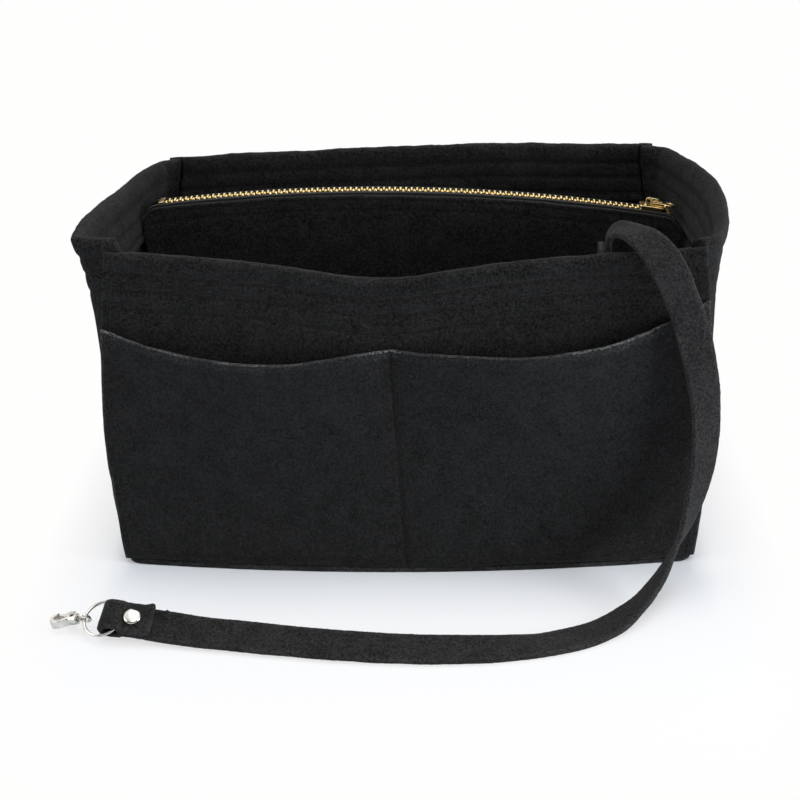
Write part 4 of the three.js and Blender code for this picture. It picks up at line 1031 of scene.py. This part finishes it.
# Zip: black woven tapes, each turned down and sewn inside its panel, and brass teeth clenched on
# their edges, which lock between each other. Small stops close both ends.
tape_thickness = 0.7
tape_outer = 5.8
tape_inner = 3.1
tape_leg = 5
tape_knee = 2
tape_rib = 0.55
tape = Finish("zip_tape", Roughness=0.9, Sheen_Weight=0.08, Specular_IOR_Level=0.12)
tape_along = tape.attribute("along")
rib = tape_along.worked("SINE", tape_along * (2 * math.pi / tape_rib)) * 0.5 + 0.5
tape_grain = tape.noise(0.5, 2)
tape.set("Base Color", tape.mix(rib * 0.6 + tape_grain * 0.4, grey(12), grey(34)))
tape.bump(rib * 0.7 + tape_grain * 0.3, 0.18, 0.8)


def zip_point(distance, across, up):
    x, z, heading = zip_frame(distance)
    return (x + up * math.sin(heading), pouch_y + across, z + up * math.cos(heading))


tape_half = tape_thickness / 2
tape_back = tape_outer - tape_thickness
tape_section = [(tape_inner, tape_half)]
for turned in np.linspace(0, math.pi / 2, 5):
    out = tape_outer - tape_half * (1 - math.sin(turned))
    tape_section.append((out, tape_half * math.cos(turned)))
tape_section += [(tape_outer, -tape_knee), (tape_outer, -tape_leg), (tape_back, -tape_leg)]
tape_section += [(tape_back, -tape_knee), (tape_back, -tape_half), (tape_inner, -tape_half)]
tape_distances = np.linspace(zip_distances[0], zip_distances[-1], 240)
for side, name in ((-1, "front"), (1, "back")):
    tape_rings = [[zip_point(d, side * across, up) for across, up in tape_section] for d in tape_distances]
    tape_points, tape_faces = loft(tape_rings)
    along = np.repeat(tape_distances, len(tape_section))
    tape_piece = add_piece(f"tape_{name}", tape_points, tape_faces, tape.material, along=along)
    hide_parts(f"zip_tape_{name}")


def make_metal(name, sizes, dull, bright, rough, strength):
    """Polished metal: a haze and a fine grain in its shade, and in how rough it is."""
    metal = Finish(name, Metallic=1.0)
    haze, grain = (metal.noise(size, 2) for size in sizes)
    metal.set("Base Color", metal.mix(haze.over(0.3, 0.7), (*dull, 1), (*bright, 1)))
    metal.set("Roughness", rough[0] + haze * rough[1] + grain * rough[2])
    metal.bump(grain, 0.01, strength)
    return metal.material


brass = make_metal(
    "polished_brass", sizes=(2.5, 0.35), dull=(0.80, 0.60, 0.27), bright=(0.90, 0.74, 0.42),
    rough=(0.14, 0.1, 0.1), strength=0.25,
)
tooth_pitch = 2.7
chain_start_gap = 4
chain_end_gap = 1
tooth_rings = [
    (2.95, 0.4, 0.7), (2.75, 0.62, 0.95), (1.9, 0.66, 1.0), (1.55, 0.5, 0.86),
    (1.0, 0.4, 0.72), (0.5, 0.5, 0.82), (-0.1, 0.56, 0.84), (-0.5, 0.36, 0.6),
]


def plain_object(name, points, faces):
    """An object from points in millimetres that rides on no body."""
    mesh = bpy.data.meshes.new(name)
    mesh.from_pydata((points * MM).tolist(), [], faces)
    return new_object(name, mesh)


def make_tooth(side):
    """One tooth, lengthways along X: clenched legs at its root, a neck, and a head past the middle."""
    rings = []
    for across, half, tall in tooth_rings:
        corners = [(half, 0.5 * tall), (0.6 * half, tall), (-0.6 * half, tall), (-half, 0.5 * tall)]
        section = corners + [(x, -z) for x, z in reversed(corners)]
        rings.append([(x, side * across, z) for x, z in section])
    return plain_object(f"tooth_{side}", *loft(rings))


chain_facing = {"axis": "X", "pivot_axis": "Y"}
chain_tree, chain_given, chain_points, chain_turn = row_tree("zip_chain", {"Tooth": "Object"}, chain_facing)
chain_tooth = add_node(chain_tree, "GeometryNodeObjectInfo", inputs={"Object": chain_given["Tooth"]})
chain_teeth = add_node(chain_tree, "GeometryNodeInstanceOnPoints", inputs={
    "Points": chain_points, "Instance": chain_tooth.outputs["Geometry"], "Rotation": chain_turn,
})
finish_tree(chain_tree, chain_given, chain_teeth)
chain_start = chain_start_gap - zip_runs[-1]
for side, name in ((-1, "front"), (1, "back")):
    start = chain_start + (tooth_pitch / 2 if side > 0 else 0)
    teeth = math.floor((zip_runs[1] - chain_end_gap - start) / tooth_pitch)
    row = [zip_point(d, 0, 0) for d in np.linspace(start, start + teeth * tooth_pitch, 160)]
    tooth = make_tooth(side)
    exact = np.linalg.norm(np.diff(np.array(row), axis=0), axis=1).sum() / teeth
    values = {"Pitch": exact * MM, "Tooth": tooth, "Finish": brass}
    chain = along_rows(f"chain_{name}", chain_tree, [row], values)
    bpy.data.objects.remove(tooth)
    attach(chain, "bag")
    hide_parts(f"zip_chain_{name}")


def cast(node, name, finish, body, grain=0.14, passes=8):
    """A CAD node's own shape with its edges tumbled round, as metal parts leave the mould."""
    shape = bmesh.new()
    shape.from_mesh(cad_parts[node].data)
    bmesh.ops.remove_doubles(shape, verts=shape.verts, dist=1e-6)
    mesh = bpy.data.meshes.new(name)
    shape.to_mesh(mesh)
    shape.free()
    obj = new_object(name, mesh)
    skin = obj.modifiers.new("skin", "REMESH")
    skin.mode = "VOXEL"
    skin.voxel_size = grain * MM
    tumble = obj.modifiers.new("tumble", "SMOOTH")
    tumble.factor = 0.5
    tumble.iterations = passes
    settle(obj)
    obj.data.materials.clear()
    obj.data.materials.append(finish)
    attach(obj, body)
    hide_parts(node)


for stop in ("zip_top_stop_front", "zip_top_stop_back", "zip_bottom_stop"):
    cast(stop, stop.replace("zip_", "") + "_brass", brass, "bag", 0.12, 6)


# Slider and pull: a small brass casting round the teeth with a bridge on top, and a looped pull
# that swings on its bar under the bridge.
cast("zip_slider", "slider_brass", brass, "slider")
cast("zip_pull", "pull_brass", brass, "pull", 0.12, 10)


# Strap root: a nickel-plated wire link in the strap's upper fold, held by a felt tab that is sewn
# inside the front wall, and a rivet through both layers of the fold.
nickel = make_metal(
    "nickel_plate", sizes=(3, 0.4), dull=(0.62, 0.60, 0.55), bright=(0.78, 0.76, 0.71),
    rough=(0.15, 0.12, 0.08), strength=0.2,
)
rivet_steps = 56
dome_radius = 3.75
dome_foot = 3.55
dome_height = 1.1
# Radius and height along the rivet: over its domed head, down its stem and round its rolled foot.
rivet_profile = [(0.01, dome_foot + dome_height)]
for turned in np.linspace(0.12, math.pi / 2, 12):
    rivet_profile.append((dome_radius * math.sin(turned), dome_foot + dome_height * math.cos(turned)))
rivet_profile += [(3.8, 3.4), (3.8, 2.5), (1.3, 2.45), (1.3, -2.45), (3.8, -2.5), (3.8, -3.5)]
rivet_profile += [(3.5, -3.8), (2.6, -4.1), (1.4, -4.15), (1.1, -3.7), (0.01, -3.6)]


def add_turned(name, node, profile, steps, origin, x_axis, y_axis, body="bag"):
    """A nickel piece turned round its own Y, from pairs of radius and height, for a CAD node."""
    rings = []
    for turned in np.linspace(0, 2 * math.pi, steps, endpoint=False):
        rings.append([(r * math.cos(turned), h, r * math.sin(turned)) for r, h in profile])
    axes = np.array([x_axis, y_axis, np.cross(x_axis, y_axis)])
    points, faces = loft(origin + np.array(rings) @ axes, closed=True)
    piece = add_piece(name, points, faces, nickel, body)
    piece.data.set_sharp_from_angle(angle=math.radians(40))
    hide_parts(node)
    return piece


rivet_form = (rivet_profile, rivet_steps)
add_turned("root_rivet_nickel", "strap_root_rivet", *rivet_form, root_rivet, (0, 1, 0), (-1, 0, 0))
cast("root_ring", "root_link_nickel", nickel, "bag", 0.15, 6)
cast("root_tab", "root_tab_felt", pocket_felt, "bag", 0.3, 10)


# Strap end: a rivet, a round ring of plated wire in the fold, and a swivel clasp that hangs on it,
# with an eye that turns in the barrel, a hook and a sprung gate on a pin.
end_up = np.array([-0.0048, -0.50207, 0.86481])
add_turned("end_rivet_nickel", "strap_end_rivet", *rivet_form, end_rivet, end_along, end_up)

ring_place = np.array([-122.32929, -145.76466, 8.8498])
ring_out = np.array([-0.96634, 0.23206, -0.11106])
ring_radius = 8.4
ring_wire = 0.7
ring_arm = 7.5
ring_steps = 96
ring_turns = np.linspace(0, 2 * math.pi, 14, endpoint=False)
ring_profile = [(ring_radius + ring_wire * math.cos(a), -ring_wire * math.sin(a)) for a in ring_turns]
ring_middle = ring_place + ring_arm * ring_out
ring_axis = np.cross(end_across, ring_out)
ring_form = (ring_profile, ring_steps)
end_ring = add_turned("end_ring_nickel", "end_ring", *ring_form, ring_middle, ring_out, ring_axis, "ring")
for node, body, grain, passes in (
    ("swivel_eye", "eye", 0.11, 6), ("clasp_body", "clasp", 0.12, 12), ("clasp_gate", "gate", 0.11, 8),
    ("gate_pin", "clasp", 0.1, 3), ("gate_spring", "clasp", 0.1, 0),
):
    cast(node, node + "_nickel", nickel, body, grain, passes)


# Loose fibres: short curled hairs of wool that stand out of the felt, mostly along the turned rims
# and the cut edges. One small curved hair is repeated at random over the walls, the pocket panel,
# the pouch panels and the strap.
hair = Finish("wool_hair", Roughness=0.9, Specular_IOR_Level=0.1)
hair_shade = hair.noise(3, 1)
hair.set("Base Color", hair.mix(hair_shade.over(0.35, 0.65), grey(18), grey(58)))
hair_stations = [(0, -0.2, 0.05), (0.06, 0.12, 0.045), (0.26, 0.3, 0.035), (0.55, 0.34, 0.015)]
hair_rings = []
for lean, height, radius in hair_stations:
    corners = [(0, 1), (-0.87, -0.5), (0.87, -0.5), (0.4, 0.6)]
    hair_rings.append([(lean + radius * x, radius * y, height) for x, y in corners])
hair_object = plain_object("hair", *loft(hair_rings))

fuzz_inputs = {
    "Over all": "Float", "At edges": "Float", "Hair": "Object", "Seed": "Int", "Finish": "Material",
}
fuzz_tree, fuzz_given = add_tree("loose_fibres", fuzz_inputs)
fuzz_mark = add_node(fuzz_tree, "GeometryNodeInputNamedAttribute", {"data_type": "FLOAT"}, {"Name": "edge"})
fuzz_density = add_node(fuzz_tree, "ShaderNodeMath", {"operation": "MULTIPLY_ADD"}, {
    0: fuzz_mark.outputs["Attribute"], 1: fuzz_given["At edges"], 2: fuzz_given["Over all"],
})
fuzz_points = add_node(fuzz_tree, "GeometryNodeDistributePointsOnFaces", inputs={
    "Mesh": fuzz_given["Geometry"], "Density": fuzz_density, "Seed": fuzz_given["Seed"],
})
fuzz_lean = add_node(fuzz_tree, "FunctionNodeRandomValue", {"data_type": "FLOAT_VECTOR"}, {
    0: (-0.9, -0.9, -3.1), 1: (0.9, 0.9, 3.1), "Seed": fuzz_given["Seed"],
})
fuzz_turn = add_node(fuzz_tree, "FunctionNodeRotateRotation", {"rotation_space": "LOCAL"}, {
    0: fuzz_points.outputs["Rotation"], 1: fuzz_lean,
})
fuzz_size = add_node(fuzz_tree, "FunctionNodeRandomValue", {"data_type": "FLOAT"}, {
    2: 0.4, 3: 1.2, "Seed": fuzz_given["Seed"],
})
fuzz_hair = add_node(fuzz_tree, "GeometryNodeObjectInfo", inputs={"Object": fuzz_given["Hair"]})
fuzz_hairs = add_node(fuzz_tree, "GeometryNodeInstanceOnPoints", inputs={
    "Points": fuzz_points, "Instance": fuzz_hair.outputs["Geometry"],
    "Rotation": fuzz_turn, "Scale": fuzz_size.outputs[1],
})
finish_tree(fuzz_tree, fuzz_given, fuzz_hairs)
square_mm = MM**2
for seed, (felted, over_all, at_edges) in enumerate((
    ("front_wall_felt", 0.03, 1.25), ("back_wall_felt", 0.02, 1.1), ("left_end_felt", 0.035, 1.5),
    ("right_end_felt", 0.035, 1.5), ("pocket_panel_felt", 0.03, 1.2), ("strap", 0.06, 0.7),
    ("pouch_front_felt", 0.02, 0.8), ("pouch_back_felt", 0.02, 0.8),
)):
    source = bpy.data.objects[felted]
    fuzz = new_object(felted.replace("_felt", "") + "_hairs", source.data.copy())
    values = {"Over all": over_all / square_mm, "At edges": at_edges / square_mm}
    values.update({"Hair": hair_object, "Seed": seed, "Finish": hair.material})
    lay(fuzz, fuzz_tree, values)
    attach(fuzz, "bag")
bpy.data.objects.remove(hair_object)


# Floor and light: a white table top, with a white backdrop that only the camera sees, under broad
# soft lamps. Along the foot of the bag the table's glow is cut back by place, a painted shadow over
# the real soft shadow, bluish from the table's colour.
floor_half = 3000
floor_corners = np.array([(-1, -1, 0), (1, -1, 0), (1, 1, 0), (-1, 1, 0)])
# The table's own colour is bluish, so the painted shadow at the bag's foot, where the glow is low, comes
# out bluish.
floor_shadow_tint = (0.77, 0.80, 0.84, 1)
glow_colour = (1, 0.992, 0.988, 1)
foot_glow = 0.04
near_glow = 0.56
far_glow = 0.4
foot_half = (128, 86, 1000)
side_fade = (4, 1, 1)
near_reach = 50
far_reach = 180
floor = plain_object("floor", floor_half * floor_corners, [(0, 1, 2, 3)])
white = Finish("white_table", Base_Color=floor_shadow_tint, Roughness=0.9, Specular_IOR_Level=0.1)
floor.data.materials.append(white.material)


def floor_step(operation, *values):
    """A Vector Math node of the table's finish."""
    return white.node("ShaderNodeVectorMath", {"operation": operation}, dict(enumerate(values)))


# The table glows for the camera alone, and least at the foot of the bag, where the glow is cut back by
# place: a painted shadow band over the real soft shadow.
aside = floor_step("ABSOLUTE", white.place())
beyond = floor_step("SUBTRACT", aside, [half * MM for half in foot_half])
outside = floor_step("MAXIMUM", beyond, (0, 0, 0))
away = floor_step("LENGTH", floor_step("MULTIPLY", outside, side_fade))
gap = Value(white.tree, away.outputs["Value"])
near = gap.over(0, near_reach * MM)
far = gap.over(near_reach * MM, far_reach * MM)
seen = Value(white.tree, white.node("ShaderNodeLightPath").outputs["Is Camera Ray"])
glow = white.node("ShaderNodeEmission", inputs={"Color": glow_colour, "Strength": 1.0})
glowing = seen * (foot_glow + near * near_glow + far * far_glow)
blend = white.node("ShaderNodeMixShader", inputs={0: glowing, 1: white.shader, 2: glow})
white.tree.links.new(blend.outputs[0], white.output.inputs["Surface"])

world = bpy.data.worlds.new("studio")
bpy.context.scene.world = world
world.use_nodes = True
world.node_tree.nodes.clear()


def world_step(kind, settings=None, inputs=None):
    return add_node(world.node_tree, kind, settings, inputs)


def world_pick(ray, chosen, other):
    """One shader for that kind of ray, and the other for the rest."""
    sockets = {0: world_paths.outputs[f"Is {ray} Ray"], 1: other, 2: chosen}
    return world_step("ShaderNodeMixShader", inputs=sockets)


world_paths = world_step("ShaderNodeLightPath")
room = world_step("ShaderNodeBackground", inputs={"Color": (0.93, 0.96, 1, 1), "Strength": 0.5})
backdrop = world_step("ShaderNodeBackground", inputs={"Color": (1, 1, 1, 1), "Strength": 1.0})
# Metal mirrors the white backdrop behind the bag and the darker room on the camera's side.
room_slope = (0.1, 1.0, 0.9)
sockets = {0: world_step("ShaderNodeTexCoord").outputs["Generated"], 1: room_slope}
along_room = world_step("ShaderNodeVectorMath", {"operation": "DOT_PRODUCT"}, sockets)
mirror = world_step("ShaderNodeMapRange", inputs={
    "Value": along_room.outputs["Value"], "From Min": -0.15, "From Max": 0.55, "To Min": 0.1, "To Max": 1.0,
})
mirrored = world_step("ShaderNodeBackground", inputs={"Color": (1, 0.99, 0.97, 1), "Strength": mirror})
sky = world_pick("Camera", backdrop, world_pick("Glossy", mirrored, room))
world_step("ShaderNodeOutputWorld", inputs={"Surface": sky})

lamps = [
    ("left", (-1.25, -0.5, 0.5), 0.7, 5, (1, 0.99, 0.97)),
    ("right", (1.3, -0.5, 0.25), 0.6, 20, (0.99, 0.99, 1)),
    ("top", (0.0, 0.2, 1.6), 1.2, 11, (1, 1, 1)),
    ("front", (0.05, -1.0, 1.35), 0.9, 6, (1, 1, 1)),
]
for name, spot, size, power, colour in lamps:
    lamp_data = bpy.data.lights.new(name, "AREA")
    lamp_data.size = size
    lamp_data.energy = power
    lamp_data.color = colour
    lamp = new_object(name, lamp_data)
    lamp.location = spot
    lamp.rotation_euler = (Vector((0, 0, 0.05)) - Vector(spot)).to_track_quat("-Z", "Y").to_euler()
